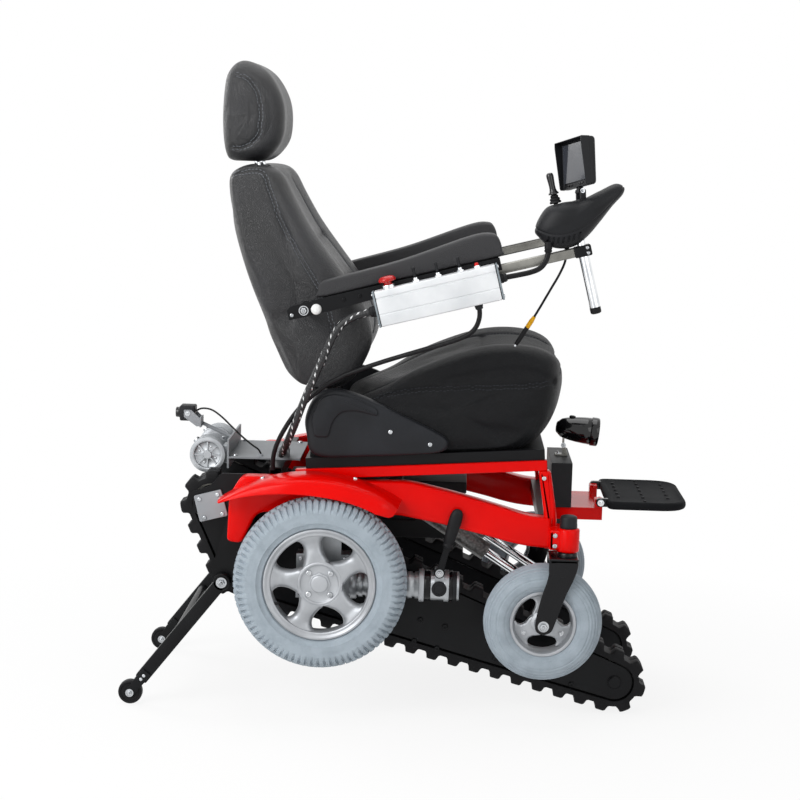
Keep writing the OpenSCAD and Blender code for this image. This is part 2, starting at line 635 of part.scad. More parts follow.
// Draws along a rear arm: z down from its pivot towards its roller
module on_rear_arm() translate([arm_pivot[0], -arm_y, arm_pivot[1]]) rotate([0, -arm_slope, 0]) children();
module rear_arms() color(BLACK) from_axle() union() {
    both() on_rear_arm() difference() {
        union() {
            y_bar([0, 0], 16, -arm_t / 2, arm_t);
            block([-arm_d / 2, -arm_t / 2, -arm_l + roller_r + 10], [arm_d / 2, arm_t / 2, 0]);
            block([-10, -arm_t / 2 - 5, -arm_l + roller_r + 6],
                [10, arm_t / 2 + 5, -arm_l + roller_r + 30]);
            for (s = [-1, 1]) translate([0, s * (roller_w / 2 + fork_gap + 2), 0])
                block([-10, -2, -arm_l - 8], [10, 2, -arm_l + roller_r + 20]);
            y_bar([0, -arm_l], 5, -roller_w / 2 - 5, roller_w + 10);
        }
        y_bar([0, 0], pin_r + run, -arm_t, 2 * arm_t);
    }
    let (p = (arm_pivot + roller) / 2) y_bar(p, 11, -arm_y, 2 * arm_y);
}
module arm_rollers() color(BLACK) from_axle() both() difference() {
    turned(roller, [[0, -arm_y - roller_w / 2], [roller_r - 3, -arm_y - roller_w / 2],
        [roller_r, -arm_y - roller_w / 2 + 3],
        [roller_r, -arm_y + roller_w / 2 - 3], [roller_r - 3, -arm_y + roller_w / 2],
            [0, -arm_y + roller_w / 2]]);
    y_bar(roller, 5 + run, -arm_y - roller_w, 2 * roller_w);
}

// Seat
pan_t = 22;
cover_in = 238;
cover_t = 24;
hinge_y = 190;
hub_w = 28;
ear_t = 6;
pan_z = rail_s + seam;
function seat_floor(x) = rail_under(x) + (pan_z + pan_t) / cos(rail_tilt) + soft_gap;
module seat_pan() color(BLACK) from_axle() union() {
    translate([rail_x0, 0, rail_z0]) rotate([0, -rail_tilt, 0])
        block([22, -cover_in + seam, pan_z], [rail_l - 4, cover_in - seam, pan_z + pan_t]);
    both() {
        side_plate([[-34, seat_floor(-34) - 2], [12, seat_floor(12) - 2], [8, recline[1] + 14],
            [-24, recline[1] + 14]],
            -hinge_y - hub_w / 2 - ear_t - 1, ear_t);
        y_bar(recline, pivot_r, -hinge_y - hub_w / 2 - ear_t - 1, hub_w + ear_t);
    }
}
// Narrowing of a section towards its sides: s runs from -1 to 1 across the cushion
rows = [1, 0.985, 0.95, 0.88, 0.76, 0.6, 0.4, 0.2, 0, -0.2, -0.4, -0.6, -0.76, -0.88, -0.95, -0.985, -1];
function ramp(v, a, b) = let (t = min(1, max(0, (v - a) / (b - a)))) t * t * (3 - 2 * t);
function bump(v, c, w) = exp(-pow((v - c) / w, 2));
seat_side = [[34, 545], [140, 550], [260, 557], [370, 566], [420, 578], [458, 602], [482, 636],
    [497, 680], [503, 735],
    [489, 779], [424, 800], [319, 793], [200, 748], [125, 702], [64, 674], [30, 652], [20, 600]];
seat_mid = [262, 670];
module seat_cushion() color(LEATHER) from_axle() loft([for (s = rows) let (e = 0.84 + 0.16 * edge(s, 0.8))
    [for (p = smooth(seat_side, 2)) let (top = ramp(p[1], 690, 745), front = ramp(p[0], 300, 480),
        x = seat_mid[0] + (p[0] - seat_mid[0]) * (0.5 + 0.5 * e) - 26 * front * pow(s, 4),
        z = seat_mid[1] + (p[1] - seat_mid[1]) * e + top * (4 * bump(abs(s), 0.8, 0.2)
            - 30 * bump(s, 0, 0.55)))
        [x, s * seat_hw, max(z, seat_floor(x))]]]);
cover_side = [[-38, 600], [-42, 640], [-22, 686], [20, 702], [80, 688], [155, 654], [225, 622],
    [258, 600], [248, 576],
    [180, 567], [80, 560], [0, 556], [-30, 568]];
module side_covers() color("#303135") from_axle() both() difference() {
    side_plate(smooth(cover_side, 3), -cover_in - cover_t, cover_t);
    side_plate([[20, 600], [60, 625], [140, 618], [190, 596], [140, 586], [40, 582]],
        -cover_in - cover_t - 1, 5);
}

// Back
frame_l = 420;
joint_along = (arm_joint[1] - recline[1]) / cos(back_tilt);
lug_back = recline[0] - joint_along * sin(back_tilt);
boss_r = 14;
bracket_y = 302;
module on_back() translate([recline[0], 0, recline[1]]) rotate([0, -back_tilt, 0]) children();
module back_bars(g) {
    both() {
        on_back() translate([0, -hinge_y, 10]) cylinder(r = frame_r + g, h = frame_l + g);
        block([lug_back, -hinge_y - 6 - g, arm_joint[1] - 10 - g], [arm_joint[0],
            -hinge_y + 6 + g, arm_joint[1] + 10 + g]);
        y_bar(arm_joint, boss_r + g, -bracket_y + seam, bracket_y - hinge_y);
    }
}
module back_frame() color(STEEL) from_axle() difference() {
    union() {
        back_bars(0);
        both() y_bar(recline, 18, -hinge_y - hub_w / 2, hub_w);
        both() y_bar(arm_joint, pivot_r, -bracket_y - bracket_t - 5, bracket_t + 10);
        on_back() y_bar([0, 34], 8, -hinge_y, 2 * hinge_y);
    }
    both() y_bar(recline, pivot_r + run, -hinge_y - 60, 120);
}
back_side = [[-66, 708], [-30, 698], [10, 696], [44, 714], [68, 750], [86, 800], [78, 850], [56, 890],
    [32, 925],
    [-6, 975], [-50, 1035], [-88, 1100], [-114, 1146], [-146, 1163], [-190, 1160], [-219, 1140],
        [-215, 1090],
    [-188, 987], [-142, 862], [-100, 765]];
function back_line(z) = recline[0] - 10 - (z - recline[1]) * tan(back_tilt);
function back_width(z) = 1 - 0.15 * ramp(z, 960, 1170);
post_y = 60;
post_foot = [-139, 1060];
post_l = 205;
module head_posts(g) both() translate([post_foot[0], -post_y, post_foot[1]]) rotate([0, -back_tilt, 0])
    translate([0, 0, -g]) cylinder(r = post_r + g, h = post_l + 2 * g);
module back_cushion() color(LEATHER) from_axle() difference() {
    loft([for (s = rows) let (e = 0.72 + 0.28 * edge(s, 0.8)) [for (p = smooth(back_side, 2))
        let (c = back_line(p[1]), fore = ramp(p[0] - c, 10, 50),
            x = c + (p[0] - c) * e + fore * (8 * bump(abs(s), 0.78, 0.2) - 16 * bump(s, 0, 0.5)))
            [x, s * back_hw * back_width(p[1]), 930 + (p[1] - 930) * (0.9 + 0.1 * e)]]]);
    back_bars(soft_gap);
    head_posts(soft_gap);
}
head_side = [[-236, 1381], [-256, 1330], [-260, 1240], [-248, 1184], [-222, 1170], [-162, 1170],
    [-129, 1192],
    [-108, 1230], [-113, 1304], [-152, 1366], [-205, 1386]];
head_mid = [-184, 1276];
head_floor = 1170;
module headrest() color(LEATHER) from_axle() {
    loft([for (s = rows) let (e = 0.6 + 0.4 * edge(s, 0.72)) [for (p = smooth(head_side, 3))
        let (q = head_mid + (p - head_mid) * e, x = q[0] - 8 * bump(s, 0, 0.6) * ramp(p[0], -170, -110))
            [x, s * head_hw, max(q[1], head_floor)]]]);
    color(STEEL) difference() {
        head_posts(0);
        block([-260, -head_hw, head_floor - seam], [-60, head_hw, head_floor + 200]);
    }
}

// Armrests, drawn along the arm from its joint
pad_u = 37;
pad_floor = 17;
flange_t = 4;
pad_in = bracket_y - pad_w;
arm_tube_w = -18;
bracket_side = [[-34, -13], [60, -13], [150, -9], [200, -9], [212, arm_tube_w], [370, arm_tube_w],
    [382, -9],
    [pad_u + pad_l - 8, -9], [pad_u + pad_l - 8, pad_floor],
    [60, pad_floor], [-26, 14], [-34, 8]];
module armrest_bracket() on_arm() difference() {
    union() {
        side_plate(bracket_side, -bracket_y - bracket_t, bracket_t);
        block([pad_u + 6, -bracket_y - 1, pad_floor - flange_t],
            [pad_u + pad_l - 10, -pad_in - 8, pad_floor]);
    }
    y_bar([0, 0], pivot_r + run, -bracket_y - 20, 40);
}
module armrest_bracket_right() color(BLACK) from_axle() armrest_bracket();
tube_y = bracket_y - seam;
arm_tube_u = 210;
module arm_tube(u1) on_arm() block([arm_tube_u, -tube_y, arm_tube_w],
    [u1, -tube_y + tube_s, arm_tube_w + tube_s]);
module armrest_bracket_left() color(BLACK) from_axle() left() {
    armrest_bracket();
    color(STEEL) arm_tube(540);
}
pad_side = [[3, 0], [113, 0], [263, 0], [371, 0], [379, 13], [377, 38], [363, 51], [318, 54], [176, 38],
    [43, 33], [7, 29],
    [0, 15]];
pad_edge = 0.78;
module armrest_pad() on_arm() loft([for (s = [1, 0.96, 0.86, 0.7, 0.3, 0, -0.3, -0.7, -0.86, -0.96, -1])
    let (e = pad_edge + (1 - pad_edge) * edge(s, 0.66)) [for (p = smooth(pad_side, 2))
    [pad_u + (pad_l / 378) * (189 + (p[0] - 189) * (0.9 + 0.1 * e)), -bracket_y + pad_w / 2 * (1 + s),
     pad_floor + soft_gap + max(0, 24 + (p[1] - 24) * e)]]]);
module armrest_pad_right() color("#3a3a3d") from_axle() armrest_pad();
module armrest_pad_left() color("#3a3a3d") from_axle() left() armrest_pad();

// Control box on the right armrest
box_u = 147;
box_top = 8;
box_y = bracket_y + bracket_t + seam;
end_t = 4;
box_mid = box_y + box_d / 2;
box_wall = 2.5;
gland_l = 14;
hose_gland = [box_u + box_l, -24];
sleeve_gland = [box_u - gland_l, -32];
feed_gland = [box_u + box_l - 55, box_top - box_h - 10];
module control_box() color("#d9dbde") from_axle() on_arm() {
    difference() {
        block([box_u + end_t, -box_y - box_d, box_top - box_h], [box_u + box_l - end_t, -box_y, box_top]);
        block([box_u, -box_y - box_d + box_wall, box_top - box_h + box_wall],
              [box_u + box_l, -box_y - box_wall, box_top - box_wall]);
        for (w = [-8, -14]) block([box_u, -box_y - box_d - 1, box_top + w],
            [box_u + box_l, -box_y - box_d + 1, box_top + w + 1.5]);
    }
    for (u = [box_u, box_u + box_l - end_t])
        block([u, -box_y - box_d, box_top - box_h], [u + end_t, -box_y, box_top]);
    x_bar([sleeve_gland[0], -box_mid, sleeve_gland[1]], 11, gland_l);
    x_bar([hose_gland[0], -box_mid, hose_gland[1]], 9, gland_l);
    translate([feed_gland[0], -box_mid, feed_gland[1]])
        cylinder(r = 8, h = box_top - box_h - feed_gland[1]);
}
// Switches are spaced in shares of the box length
stop_u = box_u + 0.137 * box_l;
toggle_u = [for (k = [0.355, 0.534, 0.71]) box_u + k * box_l];
button_u = box_u + 0.843 * box_l;
collar_h = 8;
stop_stem = 8;
toggle_z = box_top + 13;
module switch_bases() color(STEEL) from_axle() on_arm() translate([0, -box_mid, box_top]) {
    translate([stop_u, 0, 0]) difference() {
        cylinder(r = 14, h = collar_h);
        translate([0, 0, 2]) cylinder(r = stop_stem + run, h = collar_h);
    }
    for (u = toggle_u) translate([u, 0, 0]) {
        cylinder(r = 7.5, h = 3, $fn = 6);
        translate([0, 0, 3]) cylinder(r = 5, h = 6.4);
    }
    translate([button_u, 0, 0]) difference() {
        cylinder(r = 8, h = 5);
        translate([0, 0, 1]) cylinder(r = 4.5 + run, h = 5);
    }
}
module stop_button() color("#cc1010") from_axle() on_arm() translate([stop_u, -box_mid, box_top])
    rotate_extrude()
    polygon([[0, 7], [stop_stem, 7], [stop_stem, 13], [15, 13], [18, 15], [18, 19], [15, 23], [8, 25],
        [0, 25.5]]);
module toggle(u) on_arm() translate([u, -box_mid, toggle_z]) rotate_extrude()
    polygon([[0, -3.2], [2.4, -2.4], [3.2, 0], [2.6, 4], [3.6, 14], [3, 17], [0, 18]]);
module toggle_1() color(BLACK) from_axle() toggle(toggle_u[0]);
module toggle_2() color(BLACK) from_axle() toggle(toggle_u[1]);
module toggle_3() color(BLACK) from_axle() toggle(toggle_u[2]);
module push_button() color("#cc1010") from_axle() on_arm() translate([button_u, -box_mid, box_top])
    rotate_extrude()
    polygon([[0, 4], [4.5, 4], [4.5, 9], [3.5, 10.5], [0, 11]]);

// Joystick controller on its post
cpost_u = 586;
cpost_y = tube_y - tube_s / 2;
cpost_w = [-141, 22];
// The post's upper end is turned down to a spigot that carries the controller
spigot_r = cpost_r - 2;
module post_length(r, w0, w1) on_arm() translate([cpost_u, -cpost_y, w0]) cylinder(r = r, h = w1 - w0);
module controller_post() color(STEEL) from_axle() union() {
    arm_tube(cpost_u - 4);
    post_length(cpost_r, cpost_w[0], arm_tube_w + tube_s);
    post_length(spigot_r, arm_tube_w, cpost_w[1]);
    on_arm() block([cpost_u - 18, -cpost_y - 15, arm_tube_w - 2],
        [cpost_u + 18, -cpost_y + 15, arm_tube_w + tube_s + 1]);
}
pod_side = [[432, 1034], [452, 1017], [480, 1012], [508, 1019], [533, 1040], [556, 1069], [580, 1102],
    [600, 1126], [602, 1141], [584, 1147], [552, 1131], [516, 1113], [478, 1106], [448, 1096], [430, 1070],
    [424, 1046]];
pod_mid = [500, 1075];
pod_hw = 42;
stick_at = [553, 93];
ball_r = 6.5;
ring_r = 14;
trunnion_r = 1.5;
gimbal_room = 9;
// Cable glands under the controller: place and radius
pod_glands = [[452, -311, 1004, 8], [492, -270, 1002, 5]];
mon_at = [505, -281, 1186];
mon_turn = 24;
mon_roll = -9;
mon_pin = [5, -57];
mon_pin_r = 3;
mon_ear_y = 9.5;
module on_monitor() translate(mon_at) rotate([0, 0, mon_turn]) rotate([mon_roll, 0, 0]) children();
module trunnion_bore() on_arm() translate([stick_at[0], -cpost_y, stick_at[1]])
    y_bar([0, 0], trunnion_r + run, -2 * ring_r, 4 * ring_r);
module controller() color("#2a2b2e") from_axle() {
    difference() {
        loft([for (s = [1, 0.95, 0.85, 0.65, 0.35, 0, -0.35, -0.65, -0.85, -0.95, -1])
            let (e = 0.6 + 0.4 * edge(s, 0.55))
            [for (p = smooth(pod_side, 2)) let (q = pod_mid + (p - pod_mid) * e) [q[0],
                -cpost_y + s * pod_hw, q[1]]]]);
        post_length(spigot_r + soft_gap, arm_tube_w, cpost_w[1]);
        on_arm() translate([stick_at[0], -cpost_y, stick_at[1] - gimbal_room])
            cylinder(r = ring_r + seam, h = 40);
        trunnion_bore();
    }
    difference() {
        on_arm() translate([stick_at[0], -cpost_y, stick_at[1]])
            rotate_extrude() polygon([[ring_r + seam, -18], [ring_r + 7, -18], [ring_r + 3, 3],
                [ring_r + seam, 3]]);
        trunnion_bore();
    }
    for (g = pod_glands) translate([g[0], g[1], g[2]]) cylinder(r = g[3], h = 24);
    on_monitor() union() {
        for (s = [-1, 1]) translate([0, s * mon_ear_y, 0])
            block([mon_pin[0] - 4, -2.5, mon_pin[1] - 24], [mon_pin[0] + 8, 2.5, mon_pin[1] + 4]);
        y_bar(mon_pin, mon_pin_r, -mon_ear_y, 2 * mon_ear_y);
    }
}
module stick_gimbal() color(GREY) from_axle() on_arm() translate([stick_at[0], -cpost_y, stick_at[1]])
    difference() {
        union() {
            rotate_extrude() polygon([[ball_r + seam, -2], [ring_r, -2], [ring_r, 2], [ball_r + seam, 2]]);
            both() y_bar([0, 0], trunnion_r, -ring_r - 3, 7);
        }
        x_bar([-ring_r - 1, 0, 0], trunnion_r - 0.5 + run, 2 * ring_r + 2);
    }
module joystick() color(BLACK) from_axle() on_arm() translate([stick_at[0], -cpost_y, stick_at[1]])
    union() {
        rotate_extrude() polygon([[0, -5], [ball_r - 1.5, -4], [ball_r, 0], [ball_r - 1.5, 4],
            [5, 20], [11, 24], [6.5, 36], [7, 52], [7.5, 64], [6, 68], [0, 69]]);
        x_bar([-ring_r + 1, 0, 0], trunnion_r - 0.5, 2 * ring_r - 2);
    }
mon_w = 118;
mon_h = 98;
mon_t = [-4, 14];
hood_x = -20;
hood_t = 2.5;
bezel = 8;
module monitor() color(BLACK) from_axle() on_monitor() {
    cheek = [[0, -mon_h / 2], [0, mon_h / 2], [hood_x, mon_h / 2], [hood_x, mon_h / 2 - 12],
        [hood_x / 2, -mon_h / 2]];
    difference() {
        union() {
            block([mon_t[0], -mon_w / 2, -mon_h / 2], [mon_t[1], mon_w / 2, mon_h / 2]);
            block([hood_x, -mon_w / 2, mon_h / 2 - hood_t], [0, mon_w / 2, mon_h / 2]);
            for (y = [-mon_w / 2, mon_w / 2 - hood_t]) side_plate(cheek, y, hood_t);
            block([mon_pin[0] - 5, -6, mon_pin[1] - 5], [mon_pin[0] + 5, 6, -mon_h / 2 + 2]);
        }
        y_bar(mon_pin, mon_pin_r + run, -2 * mon_ear_y, 4 * mon_ear_y);
    }
    color("#101418") block([mon_t[0] - 0.6, -mon_w / 2 + bezel, -mon_h / 2 + bezel],
                           [mon_t[0], mon_w / 2 - bezel, mon_h / 2 - bezel]);
}
module rear_camera() color(BLACK) from_axle() difference() {
    union() {
        block([camera_at[0] - 18, stalk_y - 18, camera_at[1] - 17],
            [camera_at[0] + 16, stalk_y + 18, camera_at[1] + 17]);
        x_bar([camera_at[0] - 28, stalk_y, camera_at[1]], 11, 12);
    }
    y_bar(camera_at, 3 + run, stalk_y - 30, 60);
}

// Cables: routes are chosen by hand
sleeve_r = 8;
sleeve_end = arm_point(sleeve_gland[0], sleeve_gland[1]);
sleeve_route = [[sleeve_end[0], -box_mid, sleeve_end[1]], [75, -325.3, 868], [54, -324.5, 860],
    [35, -323, 846], [20, -320, 826], [9, -316.5, 803], [-3, -311, 774], [-18, -304, 740],
    [-33, -296, 704], [-48, -285, 666], [-62, -270, 628], [-76, -248, 594], [-88, -218, 567], [-96, -184, 551], [-100, -150, 543], deck_gland];
module power_sleeve() color("#1d1d1f") from_axle() tube_along(smooth_open(sleeve_route, 2), sleeve_r, 10,
    [-cos(arm_tilt), 0, -sin(arm_tilt)], [0, 1, 0]);
feed_r = 5;
feed_start = arm_point(feed_gland[0], feed_gland[1]);
feed_route = [[feed_start[0], -box_mid, feed_start[1]], [316, -325, 868], [310, -324, 849], [297, -322, 834],
    [275, -319, 822], [240, -314, 809], [204, -308, 797], [166, -302, 784], [124, -293, 769], [80, -284, 752],
    [40, -277, 735], [4, -271, 714], [-28, -269, 688], [-58, -268, 656], [-82, -263, 620], [-100, -253, 584],
    [-109, -243, 552], beam_gland];
module feed_cable() color("#1d1d1f") from_axle() tube_along(smooth_open(feed_route, 2), feed_r, 8,
    [sin(arm_tilt), 0, -cos(arm_tilt)], [0, 0, -1]);
hose_r = 5.5;
hose_start = arm_point(hose_gland[0] + gland_l, hose_gland[1]);
hose_end = pod_glands[0];
hose_route = [[hose_start[0], -box_mid, hose_start[1]], [394, -325, 958], [418, -323, 964], [436, -319, 972],
    [447.5, -314, 986], [hose_end[0], hose_end[1], hose_end[2]]];
module joystick_hose() color("#1d1d1f") from_axle() tube_along(smooth_open(hose_route, 2), hose_r, 8,
    [cos(arm_tilt), 0, sin(arm_tilt)], [0, 0, 1]);
cord_r = 2.5;
video_start = pod_glands[1];
video_route = [[video_start[0], video_start[1], video_start[2]], [491, -270, 992], [487, -268, 976],
    [477, -264, 953], [465, -259, 930], [453, -254, 907], [441, -249, 884], [430, -245, 864]];
video_plug = [-14, 7, -24];
plug_l = 78;
module video_cord() color("#1d1d1f") from_axle() {
    tube_along(smooth_open(video_route, 2), cord_r, 8, [0, 0, -1], video_plug);
    color("#e0b020") translate(video_route[len(video_route) - 1] - 3 * unit(video_plug))
        rotate([0, acos(unit(video_plug)[2]), heading([video_plug[0], video_plug[1]])])
            cylinder(r = 5, h = plug_l);
}
camera_route = [[-299.5, -50, 618], [-286, -52, 624], [-264, -58, 622], [-240, -68, 608], [-216, -78, 588],
    [-192, -86, 568], [-170, -92, 552], [-156, -95, 543], camera_gland];
camera_cord_r = 2;
module camera_cord() color("#1d1d1f") from_axle() tube_along(smooth_open(camera_route, 2), camera_cord_r, 8,
    [1, 0, 0.2], [0, 0, -1]);

side_beam_right();
side_beam_left();
cross_frame();
seat_rails();
fenders();
battery_box();
gearmotors();
freewheel_lever_right();
freewheel_lever_left();
rear_deck();
track_motors();
arm_brackets();
front_panel();
headlight();
footrest_arm();
footplate();
drive_tyre_right();
drive_tyre_left();
drive_rim_right();
drive_rim_left();
caster_fork_right();
caster_fork_left();
caster_wheel_right();
caster_wheel_left();
track_frame();
track_belts();
track_sprockets();
front_idlers();
actuator_tubes();
actuator_rods();
rear_arms();
arm_rollers();
seat_pan();
seat_cushion();
side_covers();
back_frame();
back_cushion();
headrest();
armrest_bracket_right();
armrest_bracket_left();
armrest_pad_right();
armrest_pad_left();
control_box();
stop_button();
switch_bases();
toggle_1();
toggle_2();
toggle_3();
push_button();
controller_post();
controller();
stick_gimbal();
joystick();
monitor();
rear_camera();
power_sleeve();
feed_cable();
joystick_hose();
video_cord();
camera_cord();
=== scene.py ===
"""Looks of a stair climbing wheelchair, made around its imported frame.

Sizes are millimetres measured from the drive axle and the floor, with X forward, Y to the rider's left
and Z up; row() turns them into the frame's metres.
"""
import json
import math

import bmesh
import bpy
import numpy as np
from mathutils import Matrix, Vector
from mathutils.bvhtree import BVHTree


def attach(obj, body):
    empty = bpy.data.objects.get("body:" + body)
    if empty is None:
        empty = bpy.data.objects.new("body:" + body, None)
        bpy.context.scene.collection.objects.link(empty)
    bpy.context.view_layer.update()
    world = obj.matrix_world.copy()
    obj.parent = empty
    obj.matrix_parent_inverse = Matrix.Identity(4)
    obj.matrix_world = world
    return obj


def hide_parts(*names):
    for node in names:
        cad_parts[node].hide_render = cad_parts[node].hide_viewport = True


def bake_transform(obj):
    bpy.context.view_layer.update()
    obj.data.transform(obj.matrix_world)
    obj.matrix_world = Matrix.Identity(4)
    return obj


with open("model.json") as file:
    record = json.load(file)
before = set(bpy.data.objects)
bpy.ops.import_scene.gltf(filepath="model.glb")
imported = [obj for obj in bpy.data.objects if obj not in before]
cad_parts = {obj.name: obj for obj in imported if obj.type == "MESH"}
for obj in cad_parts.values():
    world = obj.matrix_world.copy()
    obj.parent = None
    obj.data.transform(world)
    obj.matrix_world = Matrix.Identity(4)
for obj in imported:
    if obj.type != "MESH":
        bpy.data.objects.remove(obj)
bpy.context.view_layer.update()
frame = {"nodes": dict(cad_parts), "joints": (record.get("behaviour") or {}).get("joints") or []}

MM = 0.001
JOINTS = {j["name"]: j for j in frame["joints"]}
# How far the frame's origin lies in front of the drive axle
ORIGIN_X = -JOINTS["drive_spin_right"]["pos_m"][0] / MM
SIDES = {"right": 1, "left": -1}
FORWARD, BACKWARD = (1, 0, 0), (-1, 0, 0)
LEFTWARD, RIGHTWARD = (0, 1, 0), (0, -1, 0)
UPWARD, DOWNWARD = (0, 0, 1), (0, 0, -1)


def row(p):
    """A point in millimetres from the drive axle, as a point of the frame in metres."""
    return Vector(((p[0] - ORIGIN_X) * MM, p[1] * MM, p[2] * MM))


def smooth_line(points, steps=4, closed=False):
    """Points of a smooth curve through the given points."""
    p = [Vector(q) for q in points]
    n = len(p)
    made = []
    for i in range(n if closed else n - 1):
        if closed:
            a, b, c, d = (p[(i + k) % n] for k in (-1, 0, 1, 2))
        else:
            a, b, c, d = (p[min(max(i + k, 0), n - 1)] for k in (-1, 0, 1, 2))
        for k in range(steps):
            t = k / steps
            made.append(0.5 * (2 * b + (c - a) * t + (2 * a - 5 * b + 4 * c - d) * t * t
                               + (3 * b - a - 3 * c + d) * t ** 3))
    return made if closed else made + [p[-1]]


def even_line(points, step, closed=False):
    """The same line with points about one step apart."""
    p = [Vector(q) for q in points]
    if closed:
        p.append(p[0])
    run = [0.0]
    for a, b in zip(p, p[1:]):
        run.append(run[-1] + (b - a).length)
    count = max(2, round(run[-1] / step))
    made, k = [], 0
    for i in range(count + (0 if closed else 1)):
        s = run[-1] * i / count
        while k < len(run) - 2 and run[k + 1] < s:
            k += 1
        gap = run[k + 1] - run[k]
        made.append(p[k].lerp(p[k + 1], (s - run[k]) / gap if gap else 0))
    return made


def across(direction):
    """Two unit vectors square to a direction and to each other."""
    d = Vector(direction).normalized()
    u = d.cross(Vector(UPWARD) if abs(d.z) < 0.9 else Vector(FORWARD)).normalized()
    return u, d.cross(u)


def skin(rings, closed=False, caps=True):
    """A surface over rings of equally many points, with its ends capped unless it closes on itself."""
    n, m = len(rings[0]), len(rings)
    verts = [tuple(v) for ring in rings for v in ring]
    faces = [(j * n + i, j * n + (i + 1) % n, (j + 1) % m * n + (i + 1) % n, (j + 1) % m * n + i)
             for j in range(m if closed else m - 1) for i in range(n)]
    if caps and not closed:
        faces += [tuple(range(n - 1, -1, -1)), tuple(range((m - 1) * n, m * n))]
    return verts, faces


def sweep(path, radius, sides=12):
    """A round tube along a path. The radius is one number or one for each point."""
    p = [Vector(q) for q in path]
    radii = [radius] * len(p) if isinstance(radius, (int, float)) else radius
    rings, u = [], None
    for i, q in enumerate(p):
        d = (p[min(i + 1, len(p) - 1)] - p[max(i - 1, 0)]).normalized()
        u = across(d)[0] if u is None else (u - d * u.dot(d)).normalized()
        v = d.cross(u)
        rings.append([q + radii[i] * (math.cos(a) * u + math.sin(a) * v)
                      for a in (2 * math.pi * k / sides for k in range(sides))])
    return skin(rings)


def lathe(profile, at, axis=LEFTWARD, sides=48, closed=False):
    """A solid turned about an axis through a point, from a profile of (radius, distance along the axis)."""
    d = Vector(axis).normalized()
    u, v = across(d)
    rings = [[Vector(at) + d * h + r * (math.cos(a) * u + math.sin(a) * v)
              for a in (2 * math.pi * k / sides for k in range(sides))] for r, h in profile]
    return skin(rings, closed=closed)


def plate(outline, y0, y1):
    """A flat plate with an outline in the side view, from y0 to y1."""
    return skin([[(x, y, z) for x, z in outline] for y in (y0, y1)])


def oblong(u0, u1, w0, w1):
    """The four corners of a rectangle, in order."""
    return [(u0, w0), (u1, w0), (u1, w1), (u0, w1)]


def brick(p, q):
    """A box between two corners."""
    return plate(oblong(p[0], q[0], p[2], q[2]), p[1], q[1])


def moved(part, change):
    """A part with each of its points changed by a function."""
    return [tuple(change(Vector(v))) for v in part[0]], part[1]


def mirrored(part):
    """A part on the other side of the chair."""
    return [(x, -y, z) for x, y, z in part[0]], [tuple(reversed(f)) for f in part[1]]


def side_view(parts, way):
    """Parts made for the right side, or mirrored for the left."""
    return parts if way > 0 else [mirrored(p) for p in parts]


def both(parts):
    """Parts made for the right side, then the same for the left."""
    return parts + [mirrored(p) for p in parts]


def rounded(corners, radius, steps=5):
    """An outline whose corners are rounded by arcs."""
    made = []
    n = len(corners)
    for i in range(n):
        a, b, c = (Vector(corners[(i + k) % n]) for k in (-1, 0, 1))
        r = radius[i] if isinstance(radius, (list, tuple)) else radius
        if r == 0:
            made.append(b)
            continue
        r = min(r, (a - b).length * 0.48, (c - b).length * 0.48)
        start, end = b + (a - b).normalized() * r, b + (c - b).normalized() * r
        for k in range(steps + 1):
            t = k / steps
            made.append((1 - t) ** 2 * start + 2 * t * (1 - t) * b + t * t * end)
    return [tuple(p) for p in made]


def bevel(obj, width, segments=2, angle=30):
    """Rounds a piece's sharp edges by a width in millimetres."""
    m = obj.modifiers.new("edge", "BEVEL")
    m.width = width * MM
    m.segments = segments
    m.limit_method = "ANGLE"
    m.angle_limit = math.radians(angle)
    m.use_clamp_overlap = True
    m.harden_normals = True


def piece(name, parts, finish, body, edge=0.0, sharp=35, slot=None, replaces=()):
    """One mesh piece made of parts in millimetres, with its finish, riding on a body."""
    verts, faces = [], []
    for v, f in parts:
        faces += [tuple(i + len(verts) for i in face) for face in f]
        verts += v
    mesh = bpy.data.meshes.new(name)
    mesh.from_pydata([row(v) for v in verts], [], faces)
    bm = bmesh.new()
    bm.from_mesh(mesh)
    bmesh.ops.recalc_face_normals(bm, faces=bm.faces)
    bm.to_mesh(mesh)
    bm.free()
    mesh.shade_smooth()
    mesh.set_sharp_from_angle(angle=math.radians(sharp))
    obj = bpy.data.objects.new(name, mesh)
    bpy.context.scene.collection.objects.link(obj)
    mesh.materials.append(finish)
    if edge:
        bevel(obj, edge)
    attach(obj, body)
    if replaces:
        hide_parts(*replaces)
    return obj


def pair(name, parts, finish, body, replaces=(), **how):
    """A piece on each side of the chair, mirrored for the left; {} stands for the side."""
    for side, way in SIDES.items():
        piece(name.format(side), side_view(parts, way), finish, body.format(side),
              replaces=[node.format(side) for node in replaces], **how)


def dress(node, finish, edge=0.0):
    """Gives a CAD node its finish and rounds its edges."""
    obj = frame["nodes"][node]
    obj.data.materials.clear()
    obj.data.materials.append(finish)
    if edge:
        weld = obj.modifiers.new("weld", "WELD")
        weld.merge_threshold = 0.02 * MM
        bevel(obj, edge)


def button_head(at, axis, r):
    """A dome headed socket screw."""
    d = Vector(axis).normalized()
    u, v = across(d)
    at = Vector(at)
    outer = [(r, 0), (r, 0.35 * r), (0.86 * r, 0.62 * r), (0.6 * r, 0.74 * r)]
    rings = [[at + d * h + q * (math.cos(a) * u + math.sin(a) * v)
              for a in (math.pi * k / 9 for k in range(18))] for q, h in outer]
    socket = [0.46 * r * (1 + 0.07 * math.cos(6 * math.pi * k / 9)) for k in range(18)]
    for h in (0.72, 0.34):
        rings.append([at + d * h * r + socket[k] * (math.cos(a) * u + math.sin(a) * v)
                      for k, a in ((k, math.pi * k / 9) for k in range(18))])
    return skin(rings)


